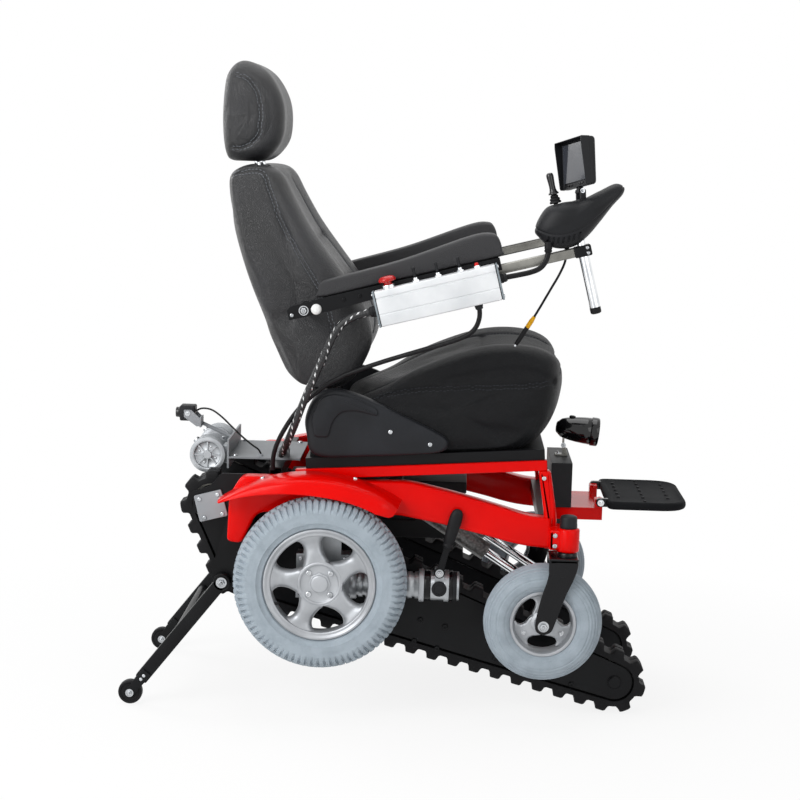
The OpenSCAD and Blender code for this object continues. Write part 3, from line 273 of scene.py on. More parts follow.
def hex_head(at, axis, r):
    """A hexagon bolt head with a washer under it and the end of its thread."""
    d = Vector(axis).normalized()
    washer = lathe([(0, 0), (1.45 * r, 0), (1.45 * r, 0.2 * r), (0, 0.2 * r)], at, axis, 20)
    head = lathe([(0, 0.2 * r), (r, 0.2 * r), (r, 0.8 * r), (0.88 * r, 0.95 * r), (0, 0.95 * r)], at, axis, 6)
    thread = lathe([(0, 0.9 * r), (0.5 * r, 0.9 * r), (0.5 * r, 1.5 * r), (0.4 * r, 1.65 * r), (0, 1.65 * r)],
                   Vector(at), d, 14)
    return [washer, head, thread]


# Materials

def linear(colour):
    """An sRGB hex colour as linear light."""
    parts = [int(colour[i:i + 2], 16) / 255 for i in (1, 3, 5)]
    return tuple(c / 12.92 if c <= 0.04045 else ((c + 0.055) / 1.055) ** 2.4 for c in parts) + (1.0,)


def cycles(size):
    """Pattern scale at which one cell or wave is a size in millimetres."""
    return 1 / (size * MM)


def add(tree, kind, inputs=None, **settings):
    """Adds a node with its settings; an input is a value or another node's output."""
    made = tree.nodes.new("ShaderNode" + kind)
    for key, value in settings.items():
        setattr(made, key, value)
    for key, value in (inputs or {}).items():
        if isinstance(value, bpy.types.NodeSocket):
            tree.links.new(value, made.inputs[key])
        else:
            made.inputs[key].default_value = value
    return made


def begin(name, slot, colour, rough, metal=0.0, **sockets):
    """A material whose shader has its plain values set, with its tree, shader and surface coordinates."""
    mat = bpy.data.materials.new(name)
    mat["slot"] = slot
    mat.use_nodes = True
    tree = mat.node_tree
    shader = tree.nodes["Principled BSDF"]
    values = {"Base Color": linear(colour), "Roughness": rough, "Metallic": metal, **sockets}
    for key, value in values.items():
        shader.inputs[key].default_value = value
    place = add(tree, "TexCoord").outputs["Object"]
    return mat, tree, shader, place


def tint(tree, shader, factor, dark, light, low=0.3, high=0.7):
    """Colours the surface between two tones by a pattern."""
    scale = add(tree, "ValToRGB", {"Fac": factor})
    for stop, where, colour in zip(scale.color_ramp.elements, (low, high), (dark, light)):
        stop.position = where
        stop.color = linear(colour)
    tree.links.new(scale.outputs["Color"], shader.inputs["Base Color"])


def worn(tree, shader, factor, low, high):
    """Lets the roughness follow a pattern."""
    spread = add(tree, "MapRange", {"Value": factor, "To Min": low, "To Max": high})
    tree.links.new(spread.outputs["Result"], shader.inputs["Roughness"])


def relief(tree, shader, height, depth, under=None):
    """Raises the surface by a pattern, depth in millimetres."""
    inputs = {"Height": height, "Distance": depth * MM, "Strength": 1.0}
    if under:
        inputs["Normal"] = under
    made = add(tree, "Bump", inputs).outputs["Normal"]
    tree.links.new(made, shader.inputs["Normal"])
    return made


def cloud(tree, shader, place, size, detail, tones, rough, gloss, stops=(0.3, 0.7), mix=0.5):
    """Lets tone and roughness drift in clouds of a size in millimetres."""
    drift = add(tree, "TexNoise",
                {"Vector": place, "Scale": cycles(size), "Detail": detail, "Roughness": mix})
    tint(tree, shader, drift.outputs["Fac"], *tones, *stops)
    worn(tree, shader, drift.outputs["Fac"], rough * gloss[0], rough * gloss[1])


def powder_coat(name, slot, dark, light, rough, peel=3.0, depth=0.05, coat=0.0, gleam=0.15):
    """Baked powder paint on steel: an even skin with a faint orange peel and a little dust in its tone."""
    mat, tree, shader, place = begin(name, slot, light, rough, **{"Coat Weight": coat, "Coat Roughness": 0.08,
                                                                  "Specular IOR Level": gleam})
    cloud(tree, shader, place, 140, 5.0, (dark, light), rough, (0.8, 1.25))
    peeled = add(tree, "TexNoise", {"Vector": place, "Scale": cycles(peel), "Detail": 2.0})
    relief(tree, shader, peeled.outputs["Fac"], depth)
    return mat


def hammered(name, slot, dark, light):
    """Hammer finish enamel: shallow round dents that hold a darker tone at their rims."""
    mat, tree, shader, place = begin(name, slot, light, 0.38, 0.35)
    dents = add(tree, "TexVoronoi", {"Vector": place, "Scale": cycles(5)}, feature="SMOOTH_F1")
    tint(tree, shader, dents.outputs["Distance"], light, dark, 0.1, 0.75)
    relief(tree, shader, dents.outputs["Distance"], -0.35)
    return mat


def cast_metal(name, slot, dark, light, rough, grit=1.6, depth=0.06, metal=0.9):
    """Cast or blasted alloy: a fine even grit, brighter where hands and cloths have rubbed it."""
    mat, tree, shader, place = begin(name, slot, light, rough, metal)
    cloud(tree, shader, place, 60, 6.0, (dark, light), rough, (0.75, 1.3))
    sand = add(tree, "TexNoise", {"Vector": place, "Scale": cycles(grit), "Detail": 3.0})
    relief(tree, shader, sand.outputs["Fac"], depth)
    return mat


def bright_metal(name, slot, dark, light, rough):
    """Plated or polished steel: mirror like, with faint wipe marks in its gloss."""
    mat, tree, shader, place = begin(name, slot, light, rough, 1.0)
    wipe = add(tree, "Mapping", {"Vector": place, "Scale": (1, 6, 1)}).outputs["Vector"]
    cloud(tree, shader, wipe, 40, 8.0, (dark, light), rough, (0.6, 1.6), (0.2, 0.6))
    return mat


def rubber(name, slot, dark, light, rough, bloom=35, grit=1.2, depth=0.08, gleam=0.15):
    """Vulcanised rubber: matt, with a cloudy bloom and scuffs in its tone and a sandy skin."""
    mat, tree, shader, place = begin(name, slot, light, rough, **{"Specular IOR Level": gleam})
    cloud(tree, shader, place, bloom, 9.0, (dark, light), rough, (1.15, 0.85), (0.25, 0.6), 0.7)
    sand = add(tree, "TexNoise", {"Vector": place, "Scale": cycles(grit), "Detail": 2.0})
    relief(tree, shader, sand.outputs["Fac"], depth)
    return mat


def moulded(name, slot, dark, light, rough, grit=1.4, depth=0.12, coat=0.0, gleam=0.2):
    """Injection moulded plastic: spark eroded texture, or a gloss face where the tool was polished."""
    mat, tree, shader, place = begin(name, slot, light, rough, **{"Coat Weight": coat, "Coat Roughness": 0.05,
                                                                  "Specular IOR Level": gleam})
    cloud(tree, shader, place, 90, 6.0, (dark, light), rough, (0.85, 1.2))
    pits = add(tree, "TexVoronoi", {"Vector": place, "Scale": cycles(grit)}, feature="SMOOTH_F1")
    relief(tree, shader, pits.outputs["Distance"], depth)
    return mat


def leather(name, slot, dark, light, rough=0.36, grain=3.0, depth=0.4, gleam=0.5):
    """Bonded leather: pebbled grain, drawn about twice its real size so that it shows, with soft creases
    and a gloss that varies where it is stretched."""
    mat, tree, shader, place = begin(name, slot, light, rough,
                                     **{"Sheen Weight": 0.03, "Sheen Roughness": 0.4,
                                        "Specular IOR Level": gleam})
    cloud(tree, shader, place, 120, 6.0, (dark, light), rough, (0.86, 1.22))
    bent = add(tree, "TexNoise", {"Vector": place, "Scale": cycles(14), "Detail": 2.0}).outputs["Color"]
    drift = add(tree, "Mix", {0: 0.004, 4: place, 5: bent}, data_type="VECTOR").outputs[1]
    cells = add(tree, "TexVoronoi", {"Vector": drift, "Scale": cycles(grain), "Randomness": 1.0},
                feature="DISTANCE_TO_EDGE").outputs["Distance"]
    rows = add(tree, "MapRange", {"Value": cells, "From Max": 0.22}).outputs["Result"]
    first = relief(tree, shader, rows, depth)
    soft = add(tree, "TexNoise", {"Vector": place, "Scale": cycles(55), "Detail": 3.0}).outputs["Fac"]
    relief(tree, shader, soft, 1.3, first)
    return mat


def braid(name, slot):
    """Braided polyester sleeve: crossed dark yarns with white tracer yarns that come up in rows of flecks."""
    mat, tree, shader, _ = begin(name, slot, "#18191b", 0.55)
    uv = add(tree, "TexCoord").outputs["UV"]
    parts = add(tree, "SeparateXYZ", {"Vector": uv})
    turn, along = parts.outputs["X"], parts.outputs["Y"]
    waves = []
    for way in (1, -1):
        angle = add(tree, "Math", {0: turn, 1: way * 8 * math.pi}, operation="MULTIPLY").outputs[0]
        travel = add(tree, "Math", {0: along, 1: 2 * math.pi * cycles(12), 2: angle},
                     operation="MULTIPLY_ADD").outputs[0]
        waves.append(add(tree, "Math", {0: travel}, operation="SINE").outputs[0])
    weave = add(tree, "Math", {0: waves[0], 1: waves[1]}, operation="MULTIPLY").outputs[0]
    lane = add(tree, "Math", {0: turn, 1: 3.0}, operation="MULTIPLY").outputs[0]
    helix = add(tree, "Math", {0: along, 1: cycles(70), 2: lane}, operation="MULTIPLY_ADD").outputs[0]
    part = add(tree, "Math", {0: helix}, operation="FRACT").outputs[0]
    tracer = add(tree, "Math", {0: part, 1: 0.2}, operation="LESS_THAN").outputs[0]
    high = add(tree, "Math", {0: waves[0], 1: 0.45}, operation="GREATER_THAN").outputs[0]
    fleck = add(tree, "Math", {0: tracer, 1: high}, operation="MULTIPLY").outputs[0]
    tint(tree, shader, fleck, "#17181a", "#e2e3e4", 0.2, 0.8)
    relief(tree, shader, weave, 0.5)
    return mat


def clear(name, slot, colour, rough, **sockets):
    """Glass or clear acrylic: smooth, with light going through or a dark panel behind it."""
    mat, tree, shader, place = begin(name, slot, colour, rough, **{"IOR": 1.49, **sockets})
    dust = add(tree, "TexNoise", {"Vector": place, "Scale": cycles(25), "Detail": 8.0}).outputs["Fac"]
    worn(tree, shader, dust, rough * 0.7, rough * 1.5)
    return mat


# Gloss polyester powder on the frame: saturated, with clear highlights
RED_PAINT = powder_coat("red_powder_coat", "red_paint", "#dc0200", "#ec0400", 0.2, 4.0, 0.03, 0.06, 0.1)
# Satin black powder on brackets and the track plates
BLACK_COAT = powder_coat("black_powder_coat", "black_steel", "#0c0c0e", "#17181a", 0.36, 1.5, 0.05)
# Wet black enamel on the forks, footplate hinge and motor sleeves
BLACK_GLOSS = powder_coat("black_enamel", "black_steel", "#0b0b0d", "#141417", 0.2, 5.0, 0.03, 0.15)
# Grey stoving paint on the deck plates
GREY_COAT = powder_coat("grey_stoving_paint", "grey_steel", "#8b8e92", "#a4a8ac", 0.45)
# Hammer enamel on the actuator tubes: grey with dark rims round its dents
HAMMER_GREY = hammered("grey_hammer_enamel", "grey_steel", "#4a4b4c", "#8a8a88")
# Silver lacquer over a gravity cast alloy wheel
RIM_ALLOY = cast_metal("lacquered_cast_alloy", "cast_alloy", "#9b9ea2", "#b4b7bb", 0.42, 2.5, 0.015, 0.6)
# Raw pressure die castings of the motors
DIE_CAST = cast_metal("die_cast_alloy", "cast_alloy", "#8f9397", "#babdc0", 0.42)
# Bead blasted, clear anodised extrusion
ANODISED = cast_metal("anodised_aluminium", "anodised", "#d6d9dc", "#e8eaec", 0.4, 1.0, 0.02, 0.35)
# Grey anodised end plates, a little darker and sharper than the box
ANODISED_GREY = cast_metal("grey_anodised_aluminium", "anodised", "#7d868c", "#98a1a7", 0.38, 1.0, 0.03, 0.7)
# Chrome plate: a near mirror
CHROME = bright_metal("chrome_plate", "chrome", "#b9bdc2", "#eceef0", 0.07)
# Bright zinc on screws and bolts: pale, softer than chrome
ZINC = bright_metal("bright_zinc_plate", "bright_steel", "#8d9094", "#cfd2d5", 0.22)
# Plain drawn steel tube with a dull nickel plate
DULL_STEEL = cast_metal("nickel_plated_steel", "bright_steel", "#6d6c68", "#9b9a94", 0.34, 3.0, 0.03)
# Non marking tyre rubber: pale blue grey and matt
TYRE_GREY = rubber("non_marking_grey_rubber", "tyre_grey", "#8e99a2", "#a3aeb7", 0.6)
# Track belts: deep black, coarse from the mould
TRACK_BLACK = rubber("black_track_rubber", "track_rubber", "#0b0b0c", "#18181a", 0.6, 60, 2.0, 0.15)
# Nitrile rubber on grips, gaskets and rollers: black with a soft sheen
SOFT_BLACK = rubber("black_nitrile_rubber", "track_rubber", "#0f0f10", "#1b1b1d", 0.5)
# Black bonded leather of the back and headrest: pebbled, with long soft highlights
LEATHER = leather("black_bonded_leather", "leather", "#090a0c", "#121318")
# Painted shade: the seat's leather is a darker, duller copy of that of the back, so that the seat reads
# darker than the back
SEAT_LEATHER_SHADED = leather("shaded_dull_bonded_leather", "leather", "#07080a", "#0f1013", 0.44, gleam=0.16)
# Sewing thread: grey on the back and headrest, black on the seat
THREAD = moulded("grey_polyester_thread", "leather", "#5a5d62", "#7a7e84", 0.5, 0.8, 0.1)
SEAT_THREAD = moulded("black_polyester_thread", "leather", "#25272b", "#34373c", 0.5, 0.8, 0.1)
# Self skinning polyurethane on the arm pads: dark grey and dull
PAD_SKIN = leather("moulded_polyurethane_skin", "pad_vinyl", "#17171a", "#222225", 0.6, 3.2, 0.3)
# Spark textured ABS: black with a broad dim highlight
ABS_BLACK = moulded("black_textured_abs", "black_plastic", "#141517", "#202124", 0.46)
# Glass filled nylon of the footplate: black and almost without gloss
FOOT_BLACK = moulded("black_filled_nylon", "black_steel", "#101113", "#1a1b1d", 0.75, 1.4, 0.12, 0.0, 0.08)
# Charcoal polypropylene covers: a coarser texture than the ABS
ABS_GREY = moulded("charcoal_polypropylene", "black_plastic", "#191a1d", "#24262a", 0.44, 2.0, 0.16)
# Polished ABS: wet looking black
GLOSS_BLACK = moulded("polished_black_abs", "gloss_black", "#08080a", "#121215", 0.12, 6.0, 0.02, 0.6)
# Red polycarbonate buttons: bright, with a clear gloss
SIGNAL_RED = moulded("red_polycarbonate", "red_plastic", "#b80c0a", "#d81512", 0.22, 5.0, 0.02, 0.4)
# Yellow PVC plug grip
PLUG_YELLOW = moulded("yellow_pvc", "black_plastic", "#d79a08", "#f0b414", 0.35, 2.0, 0.05)
# White nylon washers: waxy
WHITE_NYLON = moulded("white_nylon", "black_plastic", "#d9dadb", "#f2f2f0", 0.35, 2.0, 0.03)
# Cable jackets: smooth black PVC
CABLE_PVC = rubber("black_pvc_jacket", "cable_black", "#0d0d0e", "#19191b", 0.4, 25, 2.0, 0.04)
# Braided sleeve: black with rows of white flecks
SLEEVE = braid("braided_polyester_sleeve", "cable_black")
# Lamp and camera lenses: clear, with a dusty gloss
LENS = clear("clear_polycarbonate", "gloss_black", "#f3f6f8", 0.05, **{"Transmission Weight": 0.9})
# Display glass over a dark panel
SCREEN = clear("display_glass", "gloss_black", "#3d4047", 0.1, **{"Coat Weight": 0.5})


# Stage, light and camera

CAMERA_AT = (265, -4264, 1227)
CAMERA_LOOK = (-0.0269, 0.9906, -0.1343)
CAMERA_ROLL = 1.56
CAMERA_LENS = 86.85
FLOOR_HALF = 9000
FLOOR_Z = -0.5


def seen_rays(tree):
    """1 for rays from the camera and for those that metal or glass send on, 0 for the light on the object."""
    ray = add(tree, "LightPath").outputs
    two = add(tree, "Math", {0: ray["Is Camera Ray"], 1: ray["Is Transmission Ray"]},
              operation="MAXIMUM").outputs[0]
    return add(tree, "Math", {0: two, 1: ray["Is Glossy Ray"]}, operation="MAXIMUM").outputs[0]


def set_stage():
    """The studio: camera, softboxes, an even white world and a seamless paper floor."""
    scene = bpy.context.scene
    scene.view_settings.view_transform = "Standard"
    look = Vector(CAMERA_LOOK).normalized()
    level = look.cross(Vector(UPWARD)).normalized()
    roll = math.radians(CAMERA_ROLL)
    right = level * math.cos(roll) + level.cross(look) * math.sin(roll)
    data = bpy.data.cameras.new("camera")
    data.sensor_width = 36
    data.lens = CAMERA_LENS
    camera = bpy.data.objects.new("camera", data)
    turn = Matrix((right, right.cross(look), -look)).transposed()
    camera.matrix_world = Matrix.Translation(row(CAMERA_AT)) @ turn.to_4x4()
    scene.collection.objects.link(camera)
    scene.camera = camera

    # Softboxes: name, place, what they face, size in metres, power
    boxes = [("key_light", (-1700, -2100, 2200), (0, 0, 800), 1.8, 56),
             ("fill_light", (2300, -2300, 1500), (200, 0, 600), 1.8, 14),
             ("top_light", (100, 300, 3300), (100, 0, 0), 2.6, 40),
             ("back_light", (-2600, 1900, 2000), (0, 0, 700), 1.6, 30),
             ("side_light", (-1700, -2700, 800), (-100, 0, 800), 2.0, 16)]
    for name, at, facing, size, power in boxes:
        lamp = bpy.data.lights.new(name, "AREA")
        lamp.size = size
        lamp.energy = power
        box = bpy.data.objects.new(name, lamp)
        box.location = row(at)
        box.rotation_euler = (row(facing) - row(at)).to_track_quat("-Z", "Y").to_euler()
        scene.collection.objects.link(box)

    world = bpy.data.worlds.new("studio")
    scene.world = world
    world.use_nodes = True
    tree = world.node_tree
    sky = tree.nodes["Background"]
    sky.inputs["Color"].default_value = linear("#ffffff")
    level = add(tree, "MapRange", {"Value": seen_rays(tree), "To Min": 0.26, "To Max": 1.0})
    tree.links.new(level.outputs["Result"], sky.inputs["Strength"])

    # Pale seamless floor that keeps the object's shadow
    mat, tree, shader, place = begin("white_paper_floor", "", "#f6f6f5", 0.9)
    fibre = add(tree, "TexNoise", {"Vector": place, "Scale": cycles(2)}).outputs["Fac"]
    relief(tree, shader, fibre, 0.02)
    # Away from the object the paper goes over into plain white
    far = add(tree, "VectorMath", {0: place, 1: (0, 0, 0)}, operation="DISTANCE").outputs["Value"]
    glow_share = add(tree, "MapRange",
                     {"Value": far, "From Min": 0.45, "From Max": 1.5, "To Min": 0.86, "To Max": 1.0})
    share = add(tree, "Math", {0: seen_rays(tree), 1: glow_share.outputs["Result"]},
                operation="MULTIPLY").outputs[0]
    glow = add(tree, "Emission", {"Color": (1, 1, 1, 1)}).outputs["Emission"]
    paper = add(tree, "MixShader", {0: share, 1: shader.outputs["BSDF"], 2: glow}).outputs["Shader"]
    tree.links.new(paper, tree.nodes["Material Output"].inputs["Surface"])
    mesh = bpy.data.meshes.new("floor")
    sheet = oblong(-FLOOR_HALF, FLOOR_HALF, -FLOOR_HALF, FLOOR_HALF)
    mesh.from_pydata([row((x, y, FLOOR_Z)) for x, y in sheet], [], [(0, 1, 2, 3)])
    mesh.materials.append(mat)
    floor = bpy.data.objects.new("floor", mesh)
    scene.collection.objects.link(floor)


set_stage()


# Cables, along the routes of the CAD model

def cord_mesh(name, route, radius, finish, sides=16, steps=6):
    """A mesh tube along a route, unwrapped round and along it in metres, with the line it follows."""
    line = even_line(smooth_line(route, steps), 4)
    verts, faces = sweep(line, radius, sides)
    mesh = bpy.data.meshes.new(name)
    mesh.from_pydata([row(v) for v in verts], [], faces)
    uv = mesh.uv_layers.new(name="around_and_along")
    step = (line[1] - line[0]).length * MM
    for face in mesh.polygons:
        wraps = max(i % sides for i in face.vertices) - min(i % sides for i in face.vertices) > 1
        for loop in face.loop_indices:
            i = mesh.loops[loop].vertex_index
            turn = i % sides
            uv.data[loop].uv = ((sides if wraps and turn == 0 else turn) / sides, i // sides * step)
    mesh.shade_smooth()
    mesh.set_sharp_from_angle(angle=math.radians(60))
    mesh.materials.append(finish)
    obj = bpy.data.objects.new(name, mesh)
    bpy.context.scene.collection.objects.link(obj)
    return obj, line


def free_cord(name, route, radius, finish, node,
              bend=None, body=None):
    """A free cord that stands for its CAD node and rides on a body; given bend, it rides on no body and stays
    where it was made.
    """
    obj, line = cord_mesh(name, route, radius, finish)
    if bend:
        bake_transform(obj)
    else:
        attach(obj, body)
    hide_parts(node)


ARM_TILT = math.radians(14.5)
ARM_JOINT = (-46, 870)


def arm_point(u, w, y=None):
    """A point of the armrest: u along it and w square to it, from its joint."""
    x = ARM_JOINT[0] + u * math.cos(ARM_TILT) - w * math.sin(ARM_TILT)
    z = ARM_JOINT[1] + u * math.sin(ARM_TILT) + w * math.cos(ARM_TILT)
    return (x, z) if y is None else (x, y, z)


# Upholstery

SEAT_HALF = 234
BACK_HALF = 232
HEAD_HALF = 130
RAIL_TILT = math.radians(3.9)
RAIL_AT = (-60, 505)
PAN_TOP = 44.3
PAN_GAP = 0.4


def edge_share(s, k):
    """Share of the full section left at s, 0 in the middle to 1 at the edge; the round starts at k."""
    return 1.0 if abs(s) <= k else math.sqrt(max(0.0, 1 - ((abs(s) - k) / (1 - k)) ** 2))


def ramp(v, a, b):
    """Rises smoothly from 0 at a to 1 at b."""
    t = min(1.0, max(0.0, (v - a) / (b - a)))
    return t * t * (3 - 2 * t)


def bump(v, centre, width):
    """A soft bump of height 1 round a centre."""
    return math.exp(-((v - centre) / width) ** 2)


def cushion_part(side, steps, place, bulge, rows=44):
    """A closed cushion over a side outline. place(p, s) gives a point of the section at s, and the two end
    panels swell by bulge."""
    outline = smooth_line(side, steps, closed=True)
    rings = [[Vector(place(p, math.sin(math.pi / 2 * (2 * k / rows - 1)))) for p in outline]
             for k in range(rows + 1)]
    ends = []
    for ring, way in ((rings[0], -1), (rings[-1], 1)):
        mid = sum(ring, Vector()) / len(ring)
        ends.append([[mid.lerp(p, q) + Vector((0, way * bulge * (1 - q ** 3), 0)) for p in ring]
                     for q in (0.97, 0.9, 0.8, 0.68, 0.55, 0.42, 0.3, 0.18, 0.08)])
    return skin(list(reversed(ends[0])) + rings + ends[1])


def swell(obj, pins, limit, pressure=4.0):
    """Blows the cover up a little between its seams with simulated cloth, then keeps the result."""
    start = np.array([v.co for v in obj.data.vertices])
    group = obj.vertex_groups.new(name="seams")
    for i, weight in enumerate(pins):
        if weight > 0:
            group.add([i], float(weight), "REPLACE")
    cloth = obj.modifiers.new("cover", "CLOTH")
    cloth.settings.quality = 6
    cloth.settings.mass = 0.4
    cloth.settings.tension_stiffness = 18
    cloth.settings.compression_stiffness = 12
    cloth.settings.bending_stiffness = 3
    cloth.settings.use_pressure = True
    cloth.settings.uniform_pressure_force = pressure
    cloth.settings.vertex_group_mass = group.name
    cloth.settings.effector_weights.gravity = 0
    scene = bpy.context.scene
    for step in range(1, 16):
        scene.frame_set(step)
    made = obj.evaluated_get(bpy.context.evaluated_depsgraph_get())
    end = np.array([v.co for v in made.data.vertices])
    obj.modifiers.remove(cloth)
    obj.vertex_groups.remove(group)
    scene.frame_set(1)
    step = end - start
    far = np.linalg.norm(step, axis=1, keepdims=True)
    step *= np.minimum(1, limit * MM / np.maximum(far, 1e-9))
    obj.data.vertices.foreach_set("co", (start + step).astype(np.float32).ravel())
    obj.data.update()


def surface_of(obj):
    """A tree that finds places on a piece's own mesh."""
    bm = bmesh.new()
    bm.from_mesh(obj.data)
    bmesh.ops.triangulate(bm, faces=bm.faces)
    tree = BVHTree.FromBMesh(bm)
    bm.free()
    return tree


def onto(tree, points, way):
    """Points thrown along a direction onto a surface, as (place, normal) pairs in metres."""
    made = []
    for p in points:
        place, normal, _, _ = tree.ray_cast(row(p) - Vector(way) * 0.6, Vector(way))
        if place is not None:
            made.append((place, normal))
    return made


def distances(obj, lines):
    """A cover's points, and how far each lies from the nearest of some lines, in metres."""
    co = np.array([v.co for v in obj.data.vertices])
    near = np.array([p for line in lines for p, _ in line])
    far = np.full(len(co), 1e9)
    for block in np.array_split(near, max(1, len(near) // 200)):
        far = np.minimum(far, np.linalg.norm(co[:, None, :] - block[None, :, :], axis=2).min(axis=1))
    return co, far


def draw_in(obj, lines, width, depth):
    """Presses the cover in along lines, as a seam does."""
    co, far = distances(obj, lines)
    normals = np.array([v.normal for v in obj.data.vertices])
    push = depth * MM * np.exp(-(far / (width * MM)) ** 2)
    obj.data.vertices.foreach_set("co", (co - normals * push[:, None]).astype(np.float32).ravel())
    obj.data.update()


def stitches(lines, tree, offset=4.5, pitch=7.5, thick=0.8):
    """Thread stitches along both sides of each line, in millimetres of the frame's own axes."""
    parts = []
    for line in lines:
        places = even_line([p for p, _ in line], pitch * MM)
        for a, b in zip(places, places[1:]):
            mid, normal, _, _ = tree.find_nearest((a + b) / 2)
            along = (b - a).normalized()
            aside = normal.cross(along).normalized()
            for way in (-1, 1):
                at, up, _, _ = tree.find_nearest(mid + aside * way * offset * MM)
                half = along * 0.36 * pitch * MM
                path = [at - half - up * 0.4 * MM, at - half * 0.6 + up * 0.35 * MM,
                        at + half * 0.6 + up * 0.35 * MM, at + half - up * 0.4 * MM]
                parts.append(sweep([q / MM + Vector((ORIGIN_X, 0, 0)) for q in path],
                                   [thick * 0.6, thick, thick, thick * 0.6], 6))
    return parts


def refine(obj, levels=1):
    """Subdivides a piece smoothly and keeps the result."""
    m = obj.modifiers.new("smooth", "SUBSURF")
    m.levels = m.render_levels = levels
    made = obj.evaluated_get(bpy.context.evaluated_depsgraph_get())
    mesh = bpy.data.meshes.new_from_object(made)
    obj.modifiers.remove(m)
    old = obj.data
    obj.data = mesh
    bpy.data.meshes.remove(old)
    obj.data.shade_smooth()


def upholster(name, part, finish, body, node, seams, creases=(), limit=6, rests=None, yarn=THREAD):
    """A sewn cushion: the cover swells between its seams, which are drawn in and double stitched.

    seams and creases are (points, direction) pairs: a line thrown onto the cover along a direction.
    rests(p) is true where the cushion lies on its carrier and stays flat."""
    obj = piece(name, [part], finish, body, replaces=(node,), sharp=80)
    tree = surface_of(obj)
    lines = [onto(tree, even_line(points, 2), way) for points, way in (*seams, *creases)]
    pins = np.clip(1.6 - distances(obj, lines)[1] / (7 * MM), 0, 1)
    if rests:
        pins = np.maximum(pins, [1.0 if rests(v.co) else 0.0 for v in obj.data.vertices])
    swell(obj, pins, limit)
    refine(obj)
    sewn = [line for line in lines[:len(seams)] if line]
    draw_in(obj, sewn, 5.0, 3.4)
    if creases:
        draw_in(obj, [line for line in lines[len(seams):] if line], 7.0, 4.5)
    thread = piece(name + "_stitching", stitches(sewn, surface_of(obj)), yarn, body, sharp=60)
    thread.parent = obj
    thread.matrix_parent_inverse = Matrix.Identity(4)


# Seams are thrown onto the cushions from beyond their sides, over the seat, or before the seat or the back
BEYOND, OVER_SEAT, SEAT_FRONT, BACK_FRONT = 300, 900, 600, 400


def on_both(points):
    """A line in the side view, thrown onto the right and the left side from beyond them."""
    return [([(x, -BEYOND, z) for x, z in points], LEFTWARD),
            ([(x, BEYOND, z) for x, z in points], RIGHTWARD)]


def pan_height(x):
    """Height of the seat cushion's underside, just over its pan."""
    return RAIL_AT[1] + (x - RAIL_AT[0]) * math.tan(RAIL_TILT) + PAN_TOP / math.cos(RAIL_TILT) + PAN_GAP


SEAT_SIDE = [(34, 545), (140, 550), (260, 557), (370, 566), (420, 578), (458, 602), (482, 636), (497, 680),
             (503, 735), (489, 779), (424, 800), (319, 793), (200, 748), (125, 702), (64, 674), (30, 652),
             (20, 600)]


def seat_place(p, s):
    """A point of the seat's side view at a share s of its half width: hollow between two bolsters."""
    e = 0.84 + 0.16 * edge_share(s, 0.8)
    top, front = ramp(p[1], 690, 745), ramp(p[0], 300, 480)
    x = 262 + (p[0] - 262) * (0.5 + 0.5 * e) - 26 * front * s ** 4
    z = 670 + (p[1] - 670) * e + top * (4 * bump(abs(s), 0.8, 0.2) - 30 * bump(s, 0, 0.55))
    return x, s * SEAT_HALF, max(z, pan_height(x))


def make_seat_cushion():
    """Seat cushion: a deep front roll, side panels under a seam, and a crossing crease."""
    seams = on_both(smooth_line([(482, 727), (412, 717), (331, 712), (243, 707), (140, 694), (70, 668)]))
    seams += [(smooth_line([(70, y, OVER_SEAT), (200, y * 0.97, OVER_SEAT), (330, y * 0.93, OVER_SEAT),
                            (430, y * 0.88, OVER_SEAT), (478, y * 0.8, OVER_SEAT)]), DOWNWARD)
              for y in (-150, 150)]
    seams += [(smooth_line([(SEAT_FRONT, -185, 742), (SEAT_FRONT, -120, 750), (SEAT_FRONT, 0, 752),
                            (SEAT_FRONT, 120, 750), (SEAT_FRONT, 185, 742)]), BACKWARD)]
    creases = on_both(smooth_line([(250, 724), (331, 742), (395, 750), (445, 745), (480, 728)]))
    creases += [([(330, y, OVER_SEAT) for y in range(-140, 141, 20)], DOWNWARD)]
    # The seat cover takes the darker copy of the leather, which paints shade on the seat
    upholster("seat_cushion_cover", cushion_part(SEAT_SIDE, 5, seat_place, 3.0), SEAT_LEATHER_SHADED, "chassis",
              "seat_cushion", seams, creases, limit=5,
              rests=lambda p: p.z < 0.66 and abs(p.y) < 0.22 and p.x > -0.15, yarn=SEAT_THREAD)


BACK_SIDE = [(-66, 708), (-30, 698), (10, 696), (44, 714), (68, 750), (86, 800), (78, 850), (56, 890),
             (32, 925), (-6, 975), (-50, 1035), (-88, 1100), (-114, 1146), (-146, 1163), (-190, 1160),
             (-219, 1140), (-215, 1090), (-188, 987), (-142, 862), (-100, 765)]
BACK_TILT = math.radians(17.5)


def back_place(p, s):
    """A point of the back's side view at a share s of its half width: hollow between two bolsters."""
    e = 0.72 + 0.28 * edge_share(s, 0.8)
    c = -18 - (p[1] - 640) * math.tan(BACK_TILT)
    fore = ramp(p[0] - c, 10, 50)
    x = c + (p[0] - c) * e + fore * (8 * bump(abs(s), 0.78, 0.2) - 16 * bump(s, 0, 0.5))
    return x, s * BACK_HALF * (1 - 0.15 * ramp(p[1], 960, 1170)), 930 + (p[1] - 930) * (0.9 + 0.1 * e)


